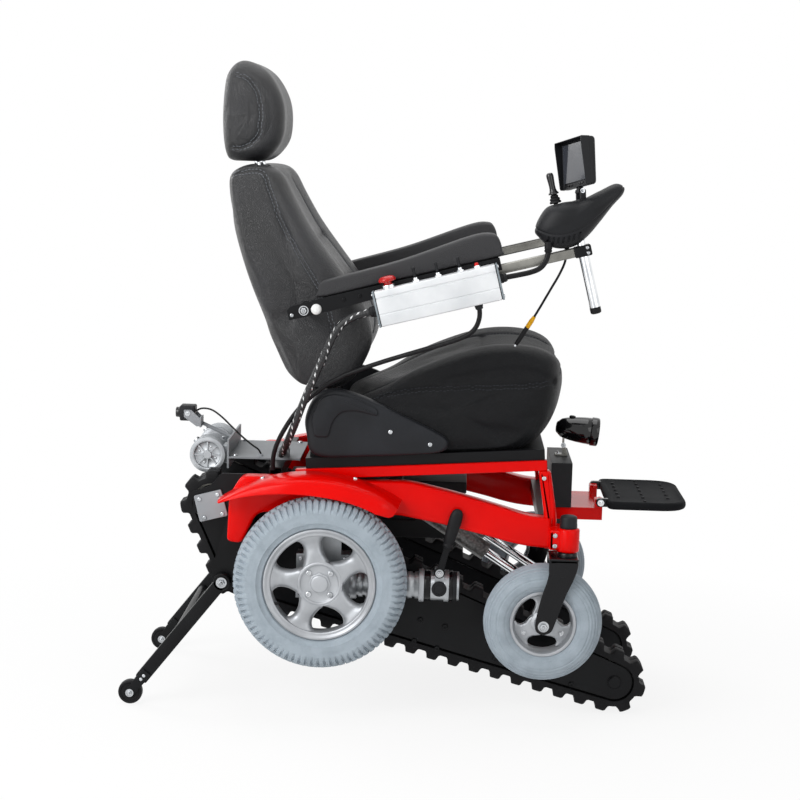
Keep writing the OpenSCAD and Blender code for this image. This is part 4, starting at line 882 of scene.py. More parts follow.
def make_back_cushion():
    """Back cushion: side panels, two bolster seams, and pulls across the middle."""
    side = smooth_line([(-212, 1140), (-182, 1149), (-146, 1148), (-132, 1118), (-120, 1087), (-102, 1042),
                        (-77, 1000), (-40, 941), (-6, 880), (14, 820)])
    seams = on_both(side)
    for y in (-1, 1):
        bolster = [(BACK_FRONT, y * 92, 1130), (BACK_FRONT, y * 108, 1080), (BACK_FRONT, y * 118, 1010),
                   (BACK_FRONT, y * 128, 930), (BACK_FRONT, y * 132, 840), (BACK_FRONT, y * 124, 770)]
        seams.append((smooth_line(bolster), BACKWARD))
    creases = [(smooth_line([(BACK_FRONT, y * 118, 1010), (BACK_FRONT, y * 60, 1000), (BACK_FRONT, 0, 997)]),
                BACKWARD) for y in (-1, 1)]
    creases += [(smooth_line([(BACK_FRONT, y * 128, 880), (BACK_FRONT, y * 60, 872), (BACK_FRONT, 0, 870)]),
                 BACKWARD) for y in (-1, 1)]
    creases += on_both(smooth_line([(-150, 846), (-120, 850), (-86, 853), (-50, 858)]))
    creases += on_both(smooth_line([(-140, 832), (-112, 838), (-80, 838)]))
    upholster("back_cushion_cover", cushion_part(BACK_SIDE, 5, back_place, 5.0), LEATHER, "back",
              "back_cushion", seams, creases, limit=6)


HEAD_SIDE = [(-230, 1364), (-241, 1322), (-243, 1240), (-235, 1184), (-216, 1170), (-162, 1170), (-129, 1192),
             (-110, 1230), (-113, 1300), (-146, 1358), (-197, 1383)]


def head_place(p, s):
    """A point of the headrest's side view at a share s of its half width, hollow in front."""
    e = 0.6 + 0.4 * edge_share(s, 0.72)
    x, z = -184 + (p[0] + 184) * e, 1276 + (p[1] - 1276) * e
    return x - 8 * bump(s, 0, 0.6) * ramp(p[0], -170, -110), s * HEAD_HALF, max(z, 1170)


def make_headrest():
    """Headrest cover on two chrome posts that slide in guides on the back."""
    seams = on_both(smooth_line([(-216, 1352), (-202, 1350), (-181, 1338), (-166, 1313), (-160, 1289),
                                 (-159, 1253), (-163, 1226), (-179, 1208), (-204, 1196), (-220, 1198)]))
    upholster("headrest_cover", cushion_part(HEAD_SIDE, 8, head_place, 7.0, 36), LEATHER, "headrest",
              "headrest", seams, limit=4, rests=lambda p: p.z < 1.172)
    up = Vector((-math.sin(BACK_TILT), 0, math.cos(BACK_TILT)))
    feet = [Vector((-139, y, 1060)) for y in (-60, 60)]
    posts = [lathe([(0, 0), (5, 0), (6, 1.5), (6, 116), (0, 116)], foot, up, 24) for foot in feet]
    piece("headrest_posts", posts, CHROME, "headrest")
    guides = [lathe([(0, -4), (15, -4), (15, 3), (12, 7), (7, 8), (7, 9), (0, 9)], foot + up * 96, up, 28)
              for foot in feet]
    piece("headrest_guides", guides, ABS_BLACK, "back")


PAD_SIDE = [(3, 0), (113, 0), (263, 0), (371, 0), (379, 13), (377, 38), (363, 51), (318, 54), (176, 38),
            (43, 33), (7, 29), (0, 15)]
BRACKET_Y = 302
PAD_W = 60


def pad_place(p, s):
    """A point of an arm pad's side view at a share s of its half width, put on the armrest."""
    e = 0.78 + 0.22 * edge_share(s, 0.66)
    u = 37 + 388 / 378 * (189 + (p[0] - 189) * (0.9 + 0.1 * e))
    return arm_point(u, 17.4 + max(0, 24 + (p[1] - 24) * e), -BRACKET_Y + PAD_W / 2 * (1 + s))


def make_armrest_pads():
    """Arm pads: dark grey moulded skin, raised towards the hand."""
    part = cushion_part(PAD_SIDE, 6, pad_place, 1.2, 20)
    for side, way in SIDES.items():
        obj = piece(f"armrest_pad_{side}_skin", side_view([part], way), PAD_SKIN, f"arm_{side}",
                    replaces=(f"armrest_pad_{side}",), sharp=80)
        refine(obj)


make_seat_cushion()
make_back_cushion()
make_headrest()
make_armrest_pads()


# Wheels

AXLE = (0, 300)
WHEEL_Y = 305
TYRE_R = 184
TYRE_W = 80
# Height of a tyre over the radius of its round section
TYRE_ROUND = 1.766
RIM_R = 117
SPOKES = 5
CASTER = (470, 226)
CASTER_Y = 285
CASTER_R = 125
CASTER_W = 70
CASTER_BEAD = 68
STEM_X = 517


def ring_point(at, r, angle, y):
    """A point at a radius and an angle about an axle along Y."""
    return Vector((at[0] + r * math.cos(angle), y, at[1] + r * math.sin(angle)))


def wheel_skin(at, profile, sides, shape=None):
    """A surface turned about an axle along Y from a closed profile of (radius, y);
    shape(r, y, angle) may move its points."""
    rings = []
    for k in range(sides):
        a = 2 * math.pi * k / sides
        rings.append([ring_point(at, *(shape(r, y, a) if shape else (r, a, y))) for r, y in profile])
    return skin(rings, closed=True)


def tyre_profile(r, bead, w, y, steps=44):
    """Section of a tyre: round crown, full shoulders, a rim guard and a narrow bead."""
    h = (r - bead) / TYRE_ROUND
    made = []
    for k in range(steps + 1):
        a = math.radians(-140 + 280 * k / steps)
        square = 1 + 0.035 * math.sin(2 * a) ** 2
        made.append((r - h + h * math.cos(a) * (1 if abs(a) > 1 else square ** 0.3),
                     y + w / 2 * math.sin(a) * min(1.0, square)))
    return made


def drive_tyre(y):
    """Block tread tyre: a row of shoulder blocks on each side that reach down the sidewall, two rows between
    them, and raised rings on the sidewall."""
    blocks = 78
    per_block = 8
    base = tyre_profile(TYRE_R - 5.0, RIM_R, TYRE_W - 2, y)
    h = (TYRE_R - RIM_R) / TYRE_ROUND

    def shape(r, yy, a):
        side = (yy - y) / (TYRE_W / 2)
        round_share = min(1.0, abs(side))
        reach = math.acos(max(-1.0, min(1.0, (r - (TYRE_R - h)) / h)))
        lift = 0.0
        phase = (a * blocks / (2 * math.pi) + (0.5 if side > 0 else 0.0) + 0.25 * round_share) % 1
        mid = (a * blocks / (2 * math.pi) + (0.0 if side > 0 else 0.5)) % 1
        if 0.62 < reach < 1.2:
            lift = 5.0 if phase < 0.66 else 0.0
        elif 1.2 <= reach < 1.34:
            lift = 3.4 if phase < 0.8 else 1.4
        elif 1.34 <= reach < 1.5:
            lift = 2.6
        elif 0.1 < reach < 0.54:
            lift = 5.0 if mid < 0.72 else 0.6
        elif reach <= 0.1:
            lift = 4.2
        if 1.62 < reach < 1.68 or 1.9 < reach < 1.95 or 2.2 < reach < 2.26:
            lift = 1.6
        out_r, out_y = math.cos(reach), math.copysign(math.sin(reach), side)
        return r + lift * out_r, a, yy + 0.8 * lift * out_y

    return wheel_skin(AXLE, base, blocks * per_block, shape)


def caster_tyre(y):
    """Ribbed tyre: four grooves round the crown and fine rings on the sidewall."""
    base = tyre_profile(CASTER_R, CASTER_BEAD, CASTER_W, y, 96)
    h = (CASTER_R - CASTER_BEAD) / TYRE_ROUND

    def shape(r, yy, a):
        reach = math.acos(max(-1.0, min(1.0, (r - (CASTER_R - h)) / h)))
        cut = 0.0
        for where, deep in ((0.14, 3.0), (0.42, 3.0), (0.72, 2.4), (0.98, 1.8), (1.2, 1.2), (1.42, 1.0),
                            (1.98, 0.8)):
            cut += deep * bump(reach, where, 0.035)
        side = math.copysign(1, yy - y)
        return r - cut * math.cos(reach), a, yy - cut * math.sin(reach) * side

    return wheel_skin(CASTER, base, 120, shape)


def drive_rim(y):
    """Five spoke cast wheel: a barrel with a broad rolled lip, spokes that swell and flow into it round oval
    windows, and a stepped hub under a cap."""
    face = y - 20
    barrel = [(-0.4, 26), (-0.4, -25), (1.6, -28), (0.6, -31), (-3, -31.6), (-6, -29.6), (-8, -28.2),
              (-12, -28), (-14, -26.6), (-15, -23), (-15.4, -10), (-13, 14), (-8, 26)]
    parts = [wheel_skin(AXLE, [(RIM_R + r, y + w) for r, w in barrel], 144)]
    radii = [46, 50, 54, 58, 63, 69, 76, 83, 90, 96, 100, 103.4]
    half = [34, 30, 26.4, 23.6, 21.4, 20, 19.4, 20, 22, 26, 31, 38]
    widest = math.pi / SPOKES

    def dish(r):
        return face - 1.5 + 5 * ramp(r, 46, 80) - 5.4 * ramp(r, 84, 104)

    for i in range(SPOKES):
        centre = math.radians(102 + 360 / SPOKES * i)
        rows = []
        for r in np.linspace(radii[0], radii[-1], 30):
            w = min(widest, np.interp(r, radii, half) / r)
            front, back = [], []
            for t in np.linspace(-1, 1, 19):
                fall = 9 * abs(t) ** 5 * (1 if w < widest - 1e-6 else 0)
                crown = 3 * (1 - t * t) * ramp(r, 46, 70)
                front.append(ring_point(AXLE, r, centre + w * t, dish(r) - crown + fall))
                back.append(ring_point(AXLE, r, centre + w * t, dish(r) + 15))
            rows.append(front + back[::-1])
        parts.append(skin(rows))
    hub = [(0, 1.4), (26, 1.4), (37, 1.2), (39, 0.4), (40.4, -1.4), (42.4, -2.2), (44.6, -2), (46.6, -0.8),
           (48, 3), (48, 16), (24, 24), (24, 40), (0, 40)]
    seat = [(0, 1.4), (23.6, 1.4), (23.6, -1.6), (22, -2.6), (0, -2.6)]
    cap = [(0, -6.6), (14.6, -6.6), (17, -6), (18.4, -4.6), (19, -2.4), (0, -2.4)]
    for profile, sides in ((hub, 96), (seat, 8), (cap, 56)):
        parts.append(lathe([(r, face + w) for r, w in profile], (AXLE[0], 0, AXLE[1]), LEFTWARD, sides))
    return parts


def make_drive_wheels():
    """Drive wheels: tyre, cast rim, four domed bolts round the hub and the tyre's valve."""
    body = "drive_{}"
    pair("drive_tyre_{}_tread", [drive_tyre(-WHEEL_Y)], TYRE_GREY, body, replaces=("drive_tyre_{}",),
         sharp=38)
    pair("drive_rim_{}_casting", drive_rim(-WHEEL_Y), RIM_ALLOY, body, edge=1.0, replaces=("drive_rim_{}",),
         sharp=40)
    bolts = [button_head(ring_point(AXLE, 32, math.radians(45 + 90 * k), -WHEEL_Y - 18.4), RIGHTWARD, 6.4)
             for k in range(4)]
    pair("drive_wheel_{}_bolts", bolts, ZINC, body)
    turn = math.radians(206)
    valve = sweep([ring_point(AXLE, RIM_R - 12, turn, -WHEEL_Y - 22),
                   ring_point(AXLE, RIM_R - 24, turn, -WHEEL_Y - 27)], [3.2, 2.6], 12)
    pair("drive_wheel_{}_valve", [valve], SOFT_BLACK, body)


def caster_rim(y):
    """Pressed caster rim: a rolled flange, a dished centre with three windows and bolts between them."""
    lip = [(-0.4, 22), (-0.4, -21), (3, -24), (1, -27.5), (-4, -27), (-7, -23), (-9, -12), (-9.5, 12),
           (-4, 26), (0, 26)]
    parts = [wheel_skin(CASTER, [(CASTER_BEAD + r, y + w) for r, w in lip], 96)]
    third = math.radians(60)
    for way in (-1, 1):
        for i in range(3):
            centre = math.radians(90 + 120 * i)
            rows = []
            for r in np.linspace(22, CASTER_BEAD - 8.5, 12):
                w = third if r < 27 else min(third,
                                             np.interp(r, [27, 34, 44, 52, 60], [26, 17, 16, 21, 34]) / r)
                face = y + way * (11 - 5 * ramp(r, 30, 58))
                line = [ring_point(CASTER, r, centre + w * t, face + (0 if abs(t) < 1 else -way * 2))
                        for t in np.linspace(-1, 1, 11)]
                rows.append(line + [p + Vector((0, -way * 6, 0)) for p in reversed(line)])
            parts.append(skin(rows))
    hub = [(0, -37.3), (10, -37.3), (17, -36), (18, -34), (18, -15), (25, -12), (25, 12), (18, 15), (18, 34),
           (17, 36), (10, 37.3), (0, 37.3)]
    parts.append(lathe(hub, (CASTER[0], y, CASTER[1]), LEFTWARD, 48))
    return parts


def make_casters():
    """Caster wheels: ribbed tyre, pressed rim and the bolts that hold its halves together."""
    body = "caster_wheel_{}"
    pair("caster_tyre_{}", [caster_tyre(-CASTER_Y)], TYRE_GREY, body, replaces=("caster_wheel_{}",), sharp=50)
    pair("caster_rim_{}", caster_rim(-CASTER_Y), RIM_ALLOY, body, edge=0.8, slot="cast_alloy")
    bolts = []
    for face in (-1, 1):
        for k in range(3):
            at = ring_point(CASTER, 44, math.radians(90 + 120 * k), -CASTER_Y + face * 7)
            bolts += hex_head(at, (0, face, 0), 4.6)
    pair("caster_wheel_{}_bolts", bolts, ZINC, body)


make_drive_wheels()
make_casters()


# Chassis

BEAM_Y = (213, 257)
FENDER_AT = (-22, 183)
FENDER_R = 345
FENDER_LIP = 42
FENDER_SPAN = (57, 125)


def loft_y(outline, layers):
    """A solid over a side view outline drawn in towards its middle at each layer: (y, inset)."""
    n = len(outline)
    p = [Vector((x, 0, z)) for x, z in outline]
    turn = sum(a.x * b.z - b.x * a.z for a, b in zip(p, p[1:] + p[:1]))
    inward = []
    for i in range(n):
        d = (p[(i + 1) % n] - p[i - 1]).normalized()
        side = Vector((-d.z, 0, d.x)) if turn > 0 else Vector((d.z, 0, -d.x))
        inward.append(side)
    return skin([[p[i] + inward[i] * inset + Vector((0, y, 0)) for i in range(n)] for y, inset in layers])


def soft_edge(y0, y1, r, steps=5):
    """Layers that round both edges of a loft from y0 to y1."""
    way = 1 if y1 > y0 else -1
    first = [(y0 + way * r * (1 - math.cos(a)), r * (1 - math.sin(a)))
             for a in (math.pi / 2 * k / steps for k in range(steps + 1))]
    last = [(y1 - way * r * (1 - math.cos(a)), r * (1 - math.sin(a)))
            for a in (math.pi / 2 * k / steps for k in range(steps, -1, -1))]
    return first + last


BEAM_REAR = [(-140, 435), (-172, 366), (-204, 370), (-200, 470), (-175, 511), (-104, 511), (-64, 504.6)]
BEAM_TOP = [(165, 508), (191, 506), (252, 493), (315, 478), (377, 461), (433, 446), (484, 440)]
BEAM_LOW = [(484, 376), (435, 380), (395, 387), (348, 399), (299, 410), (246, 422), (163, 437)]
STRUT = [(452, 540), (478, 541), (494, 445), (494, 374), (470, 374), (468, 440)]


def make_beams():
    """Pressed side beams with full round edges, the strut to the seat and the caster housing."""
    edges = [(p.x, p.z) for line in (BEAM_TOP, BEAM_LOW)
             for p in smooth_line([(x, 0, z) for x, z in line], 5)]
    outline = rounded(BEAM_REAR + edges, [20, 12, 10, 12, 14, 0, 0] + [0] * len(edges))
    y_out, y_in = -BEAM_Y[1], -BEAM_Y[0]
    beam = [loft_y(outline, soft_edge(y_out, y_in, 6)),
            loft_y(rounded(STRUT, [6, 6, 10, 3, 3, 20]), soft_edge(y_out + 6, y_in - 2, 7)),
            loft_y(rounded(oblong(478, STEM_X, 382, 424), [2, 10, 10, 2]),
                   soft_edge(-CASTER_Y - 16, y_in, 6)),
            lathe([(0, 378), (20, 378), (23, 379.5), (24, 382), (24, 424), (23, 426.5), (20, 428), (0, 428)],
                  (STEM_X, -CASTER_Y, 0), UPWARD, 48)]
    pair("side_beam_{}_shell", beam, RED_PAINT, "chassis", replaces=("side_beam_{}",), sharp=45)
    bolts = [button_head((489, -CASTER_Y - 15.5, z), RIGHTWARD, 5.4) for z in (392, 414)]
    bolts.append(button_head((464, y_out + 6, 526), RIGHTWARD, 5))
    pair("side_beam_{}_bolts", bolts, ZINC, "chassis")


def fender_skin(y_in, y_out, count=64):
    """Fender: a crowned band that rolls over into a lip, deep in front and a point at the rear."""
    rings = []
    for k in range(count + 1):
        t = k / count
        a = math.radians(FENDER_SPAN[0] + (FENDER_SPAN[1] - FENDER_SPAN[0]) * t)
        start = 0.45 + 0.55 * math.sqrt(min(1.0, t / 0.09))
        lip = FENDER_LIP * (1 - 0.92 * max(0.0, (t - 0.35) / 0.65) ** 1.8) * start
        front = (1 - min(1.0, t / 0.1)) ** 2
        rear = max(0.0, (t - 0.55) / 0.45) ** 2
        out = y_out + 14 * front + 26 * rear
        shell = []
        for s in np.linspace(0, 1, 19):
            roll = max(0.0, (s - 0.3) / 0.7)
            shell.append((FENDER_R - 0.7 - lip * (1 - math.sqrt(max(0.0, 1 - roll ** 2.3))) * 0.9
                          - 10 * front * s, y_in + (out - y_in) * (1 - (1 - s) ** 1.35)))
        r0, y0 = shell[-1]
        shell += [(r0 - 0.05 * lip, y0 - 0.3), (r0 - 0.09 * lip, y0 + 0.6), (r0 - 0.1 * lip, y0 + 2.2)]
        inner = [(r - 2.4, y + (2.4 if n > 12 else 0)) for n, (r, y) in enumerate(shell[:-3])]
        rings.append([Vector((FENDER_AT[0] + r * math.cos(a), y, FENDER_AT[1] + r * math.sin(a)))
                      for r, y in shell + inner[::-1]])
    return skin(rings)


def make_fenders():
    """Fender shells and their bolts."""
    piece("fender_shells", both([fender_skin(-257.6, -336.6)]), RED_PAINT, "chassis", replaces=("fenders",),
          sharp=60)
    bolts = []
    for a in (75, 108):
        out = Vector((math.cos(math.radians(a)), 0, math.sin(math.radians(a))))
        bolts.append(button_head(Vector((FENDER_AT[0], -270, FENDER_AT[1])) + out * (FENDER_R - 1.2), out, 5))
    piece("fender_bolts", both(bolts), ZINC, "chassis")


make_beams()
make_fenders()


# Right armrest, its switches and the joystick controller

BOX_Y = -325.3
POST_Y = -291.7


def arm_loft(outline, layers):
    """A lofted solid whose outline is given along the armrest."""
    return loft_y([arm_point(u, w) for u, w in outline], layers)


def arm_axis(u, w):
    """A direction along the armrest."""
    x, z = arm_point(u, w)
    return Vector((x - ARM_JOINT[0], 0, z - ARM_JOINT[1])).normalized()


ALONG = arm_axis(1, 0)
UP = arm_axis(0, 1)


def make_brackets():
    """Armrest brackets: a bent steel plate with its pivot bolt, angle stop screw and pad screws."""
    body, face = "arm_{}", -306.2
    bolts = hex_head(arm_point(0, 0, face), RIGHTWARD, 7)
    bolts.append(button_head(arm_point(-26, -4, face), RIGHTWARD, 4.2))
    pair("armrest_{}_bolts", bolts, ZINC, body)
    washer = lathe([(0, 0), (11, 0), (11, 1.5), (9, 4.5), (5, 6.5), (0, 7)], arm_point(26, -3, face),
                   RIGHTWARD, 28)
    pair("armrest_{}_washer", [washer], WHITE_NYLON, body)
    screws = [button_head(arm_point(u, 4, face), RIGHTWARD, 4) for u in (86, 120, 398)]
    pair("armrest_{}_screws", screws, BLACK_COAT, body)


BOX_U = (147, 409)
BOX_W = (-66, 8)


def make_control_box():
    """Extruded aluminium box with grooves along its side, grey end plates, black gaskets and cable glands."""
    y_in, y_out = -306.3, -344.3
    low, top = BOX_W
    half = [(y_in, low), (y_out + 4, low), (y_out + 0.8, low + 1.2), (y_out, low + 4), (y_out, -43),
            (y_out + 1.6, -42), (y_out + 1.6, -40.4), (y_out, -39.4), (y_out, -10), (y_out + 2.2, -9),
            (y_out + 2.2, -6.8), (y_out, -5.8), (y_out, top - 4), (y_out + 0.8, top - 1.2), (y_out + 4, top),
            (y_in, top)]

    def slice_at(u, grow=0.0):
        mid = ((y_in + y_out) / 2, (low + top) / 2)
        return [arm_point(u, mid[1] + (w - mid[1]) * (1 + grow), mid[0] + (y - mid[0]) * (1 + grow))
                for y, w in half]

    u0, u1 = BOX_U
    piece("control_box_extrusion", [skin([slice_at(u) for u in (u0 + 5.6, u1 - 5.6)])], ANODISED, "arm_right",
          edge=0.5, replaces=("control_box",), sharp=25)
    gaskets = [skin([slice_at(u, -0.02), slice_at(u + 1.6, -0.02)]) for u in (u0 + 4, u1 - 5.6)]
    piece("control_box_gaskets", gaskets, SOFT_BLACK, "arm_right")
    ends = [arm_loft(rounded(oblong(u, u + 4, low - 0.6, top + 0.6), 0.8),
                     soft_edge(y_in, y_out - 0.4, 1.2, 3)) for u in (u0, u1 - 4)]
    piece("control_box_end_plates", ends, ANODISED_GREY, "arm_right")
    screws = [button_head(arm_point(u, w, y), ALONG * way, 2.6) for u, way in ((u0, -1), (u1, 1))
              for w in (low + 6, top - 6) for y in (-312, -339)]
    piece("control_box_screws", screws, ZINC, "arm_right")

    def gland(at, axis, r, long):
        nut = [(0, -1), (r * 1.25, -1), (r * 1.25, long * 0.42), (r, long * 0.45), (r, long * 0.8),
               (r * 0.8, long), (0, long)]
        return [lathe(nut[:3] + [(0, long * 0.42)], at, axis, 6), lathe([(0, 0)] + nut[3:], at, axis, 24)]

    glands = gland(arm_point(u0, -32, BOX_Y), -ALONG, 11, 14) + gland(arm_point(u1, -24, BOX_Y), ALONG, 9, 14)
    glands += gland(arm_point(u1 - 55, low, BOX_Y), -UP, 8, 10)
    piece("control_box_glands", glands, ABS_BLACK, "arm_right", edge=0.5, slot="black_plastic")


def on_box(profile, u, w=8, sides=32):
    """A turned part standing on the control box."""
    return lathe(profile, arm_point(u, w, BOX_Y), UP, sides)


STOP_U = 182.9
TOGGLE_U = (240, 286.9, 333)
BUTTON_U = 367.9


def make_switches():
    """Mushroom stop button, three bat handle toggles on chrome bases, and the small push button."""
    cap = [(0, 7), (8, 7), (8, 12.6), (11.5, 12.8), (15.6, 13.6), (17.8, 15.4), (18, 17.6), (17.2, 19.6),
           (14.6, 22.6), (10.6, 24.4), (6, 25.2), (0, 25.4)]
    piece("stop_button_cap", [on_box(cap, STOP_U, sides=48)], SIGNAL_RED, "stop_button",
          replaces=("stop_button",), sharp=50)
    bases = [on_box([(8.1, 2), (8.1, 7.6), (10, 8), (12.4, 7.6), (13.6, 6.2), (14, 4), (14, 0), (8.1, 0)],
                    STOP_U, sides=48)]
    for u in TOGGLE_U:
        bases.append(on_box([(0, 0), (8.4, 0), (8.4, 0.8), (0, 0.8)], u))
        bases.append(on_box([(0, 0.8), (7.4, 0.8), (7.4, 3.4), (6.6, 4), (0, 4)], u, sides=6))
        bases.append(on_box([(0, 4), (5.2, 4), (5.2, 5), (4.8, 5.2), (5.2, 5.6), (5.2, 6.6), (4.8, 6.9),
                             (5.2, 7.2), (5, 8.6), (3.8, 9.4), (0, 9.4)], u, sides=28))
    bases.append(on_box([(4.6, 1), (4.6, 5), (6.4, 5), (7.6, 4), (8, 2), (8, 0), (4.6, 0)], BUTTON_U))
    piece("switch_bases_chrome", bases, CHROME, "arm_right", replaces=("switch_bases",), sharp=40,
          slot="chrome")
    for k, u in enumerate(TOGGLE_U, 1):
        bat = [(0, -3.2), (2.4, -2.4), (3.1, 0), (2.7, 4), (3.0, 9), (3.6, 13), (3.5, 15.6), (2.4, 17.4),
               (0, 18)]
        piece(f"toggle_{k}_bat", [on_box(bat, u, 21, 24)], ABS_BLACK, f"toggle_{k}",
              replaces=(f"toggle_{k}",), sharp=60)
    dome = [(0, 4), (4.4, 4), (4.4, 8.6), (3.9, 10), (2.4, 10.8), (0, 11)]
    piece("push_button_dome", [on_box(dome, BUTTON_U, sides=28)], SIGNAL_RED, "push_button",
          replaces=("push_button",), sharp=50)


POST_U = 586
TUBE_W = (-18, 2)


def make_post():
    """Square tube, clamp with its screws, chrome post with a black end cap; the left tube is shorter."""
    w0, w1 = TUBE_W
    for name, end, way, skirt in (("right", POST_U - 4, 1, 0.0), ("left", 540, -1, 0.25)):
        y0, y1 = -301.7 - skirt, -281.7 + skirt
        tube = [arm_loft(oblong(210, end - 4, w0 - skirt, w1 + skirt), soft_edge(y0, y1, 3, 4))]
        body = f"arm_{name}"
        piece(f"arm_tube_{name}", side_view(tube, way), DULL_STEEL, body,
              replaces=("controller_post",) if way > 0 else (), slot="bright_steel")
        plug = [arm_loft(rounded(oblong(end - 4, end + 1, w0, w1), [0.5, 2, 2, 0.5]),
                         soft_edge(y0, y1, 3, 3))]
        piece(f"arm_tube_{name}_plug", side_view(plug, way), ABS_BLACK, body)
    u = POST_U
    clamp = arm_loft(rounded(oblong(u - 18, u + 18, w0 - 2, w1 + 1), 4),
                     soft_edge(POST_Y - 15, POST_Y + 15, 3, 4))
    piece("post_clamp", [clamp], BLACK_COAT, "arm_right")
    screws = [button_head(arm_point(u + 10, w, POST_Y - 15), RIGHTWARD, 3.6) for w in (w0 + 4, w1 - 5)]
    piece("post_clamp_screws", screws, ZINC, "arm_right")
    at = arm_point(u, 0, POST_Y)
    piece("chrome_post", [lathe([(0, -133), (11, -133), (11, 2), (9, 3), (9, 22), (0, 22)], at, UP, 48)],
          CHROME, "arm_right")
    cap = lathe([(0, -140.6), (8, -140.6), (10.6, -139), (11.4, -136.6), (11.4, -127), (11.05, -127),
                 (0, -134)], at, UP, 36)
    piece("chrome_post_cap", [cap], SOFT_BLACK, "arm_right")


make_brackets()
make_control_box()
make_switches()
make_post()


POD_SIDE = [(432, 1034), (452, 1017), (480, 1012), (508, 1019), (533, 1040), (556, 1069), (580, 1102),
            (600, 1126), (602, 1141), (584, 1147), (552, 1131), (516, 1113), (478, 1106), (448, 1096),
            (430, 1070), (424, 1046)]
POD_MID = (500, 1075)
POD_HALF = 42
STICK_U, STICK_W = 553, 93


def pod_section(s):
    """Side view section of the controller shell at a share s of its half width: domed on both sides."""
    e = max(0.03, (1 - abs(s) ** 2.5) ** 0.4)
    side = smooth_line([(x, 0, z) for x, z in POD_SIDE], 14, closed=True)
    return [Vector((POD_MID[0] + (p.x - POD_MID[0]) * e, POST_Y + s * POD_HALF,
                    POD_MID[1] + (p.z - POD_MID[1]) * e)) for p in side]


def make_controller():
    """Two moulded shells: the groove between them sweeps up to the tip, with vent slots under it."""
    at, up = Vector(arm_point(STICK_U, STICK_W, POST_Y)), Vector(UP)
    made = []
    for angle in np.linspace(-math.pi / 2, math.pi / 2, 101):
        line = []
        for p in pod_section(math.sin(angle)):
            d = p - Vector((POD_MID[0], POST_Y, POD_MID[1]))
            rise = d.x + 35
            under = -34 + (0.0055 if rise > 0 else 0.007) * rise ** 2 - d.z
            dent = 1.8 * bump(under, 0, 1.8)
            slots = 0.5 + 0.5 * math.cos(2 * math.pi * (d.x - 0.2 * d.z) / 10)
            vent = 3.0 * ramp(slots, 0.5, 0.8) * ramp(under, 5, 7.5) * (1 - ramp(under, 19, 22))
            dent += vent * ramp(d.x, -58, -53) * (1 - ramp(d.x, 16, 21))
            out = Vector((d.x / 85 ** 2, d.y / POD_HALF ** 2, d.z / 65 ** 2)).normalized()
            p = p - out * dent
            # Cup for the gimbal, inside the stick's collar
            height = (p - at).dot(up)
            sink = ramp(16.4 - (p - at - up * height).length, 0, 1.2) * ramp(height, -30, -20)
            line.append(p - up * max(0, height + 17) * sink)
        made.append(line)
    piece("controller_shell", [skin(made)], ABS_BLACK, "arm_right", replaces=("controller",), sharp=60)

    collar = [(15, -18), (21, -18), (20, -6), (19, 0), (18.4, 2.4), (17.2, 3), (15, 3)]
    piece("controller_stick_collar", [lathe(collar + [collar[0]], at, UP, 48)], GLOSS_BLACK, "arm_right",
          sharp=50)
    glands = []
    for x, y, z, r in ((452, -311, 1004, 8), (492, -270, 1002, 5)):
        glands.append(lathe([(0, 0), (0.8 * r, 0), (r, 2.5), (r, 5), (0.9 * r, 5.6), (0.9 * r, 7), (r, 7.6),
                             (r, 22), (0, 22)], (x, y, z), UPWARD, 24))
    piece("controller_glands", glands, SOFT_BLACK, "arm_right")
    # Joystick: metal core in the gimbal, a rubber boot of three rings, and a tapered knob on a skirt
    knob = [(0, -5), (5, -4), (6.5, 0), (5, 4), (4.6, 20), (4.6, 24), (10, 24.4), (11, 25.4), (10.6, 27),
            (8, 30), (6.6, 36), (6.4, 42), (7, 52), (7.6, 60), (7.4, 65), (5.6, 68), (2.6, 69), (0, 69)]
    piece("joystick_knob", [lathe(knob, at, UP, 36)], GLOSS_BLACK, "joystick", replaces=("joystick",),
          sharp=60)
    boot = [(5.2, 24.2), (7.2, 22.6), (8.6, 20), (7.4, 18), (9.8, 16.4), (11, 13.8), (9.6, 11.8), (11.4, 10),
            (12.2, 7.6), (11.6, 6), (11, 5.8), (10.4, 6.6), (8.4, 11.8), (5.2, 18)]
    piece("joystick_boot", [lathe(boot + [boot[0]], at, UP, 40)], SOFT_BLACK, "joystick", sharp=75)
    dress("stick_gimbal", DULL_STEEL, 0.3)


MON_AT = Vector((505, -281, 1186))
MON_TURN = Matrix.Rotation(math.radians(24), 3, "Z") @ Matrix.Rotation(math.radians(-9), 3, "X")


def on_monitor(*parts):
    """Parts given in the monitor's own frame, -X towards the rider, put in their place."""
    return [moved(part, lambda p: MON_AT + MON_TURN @ Vector(p)) for part in parts]


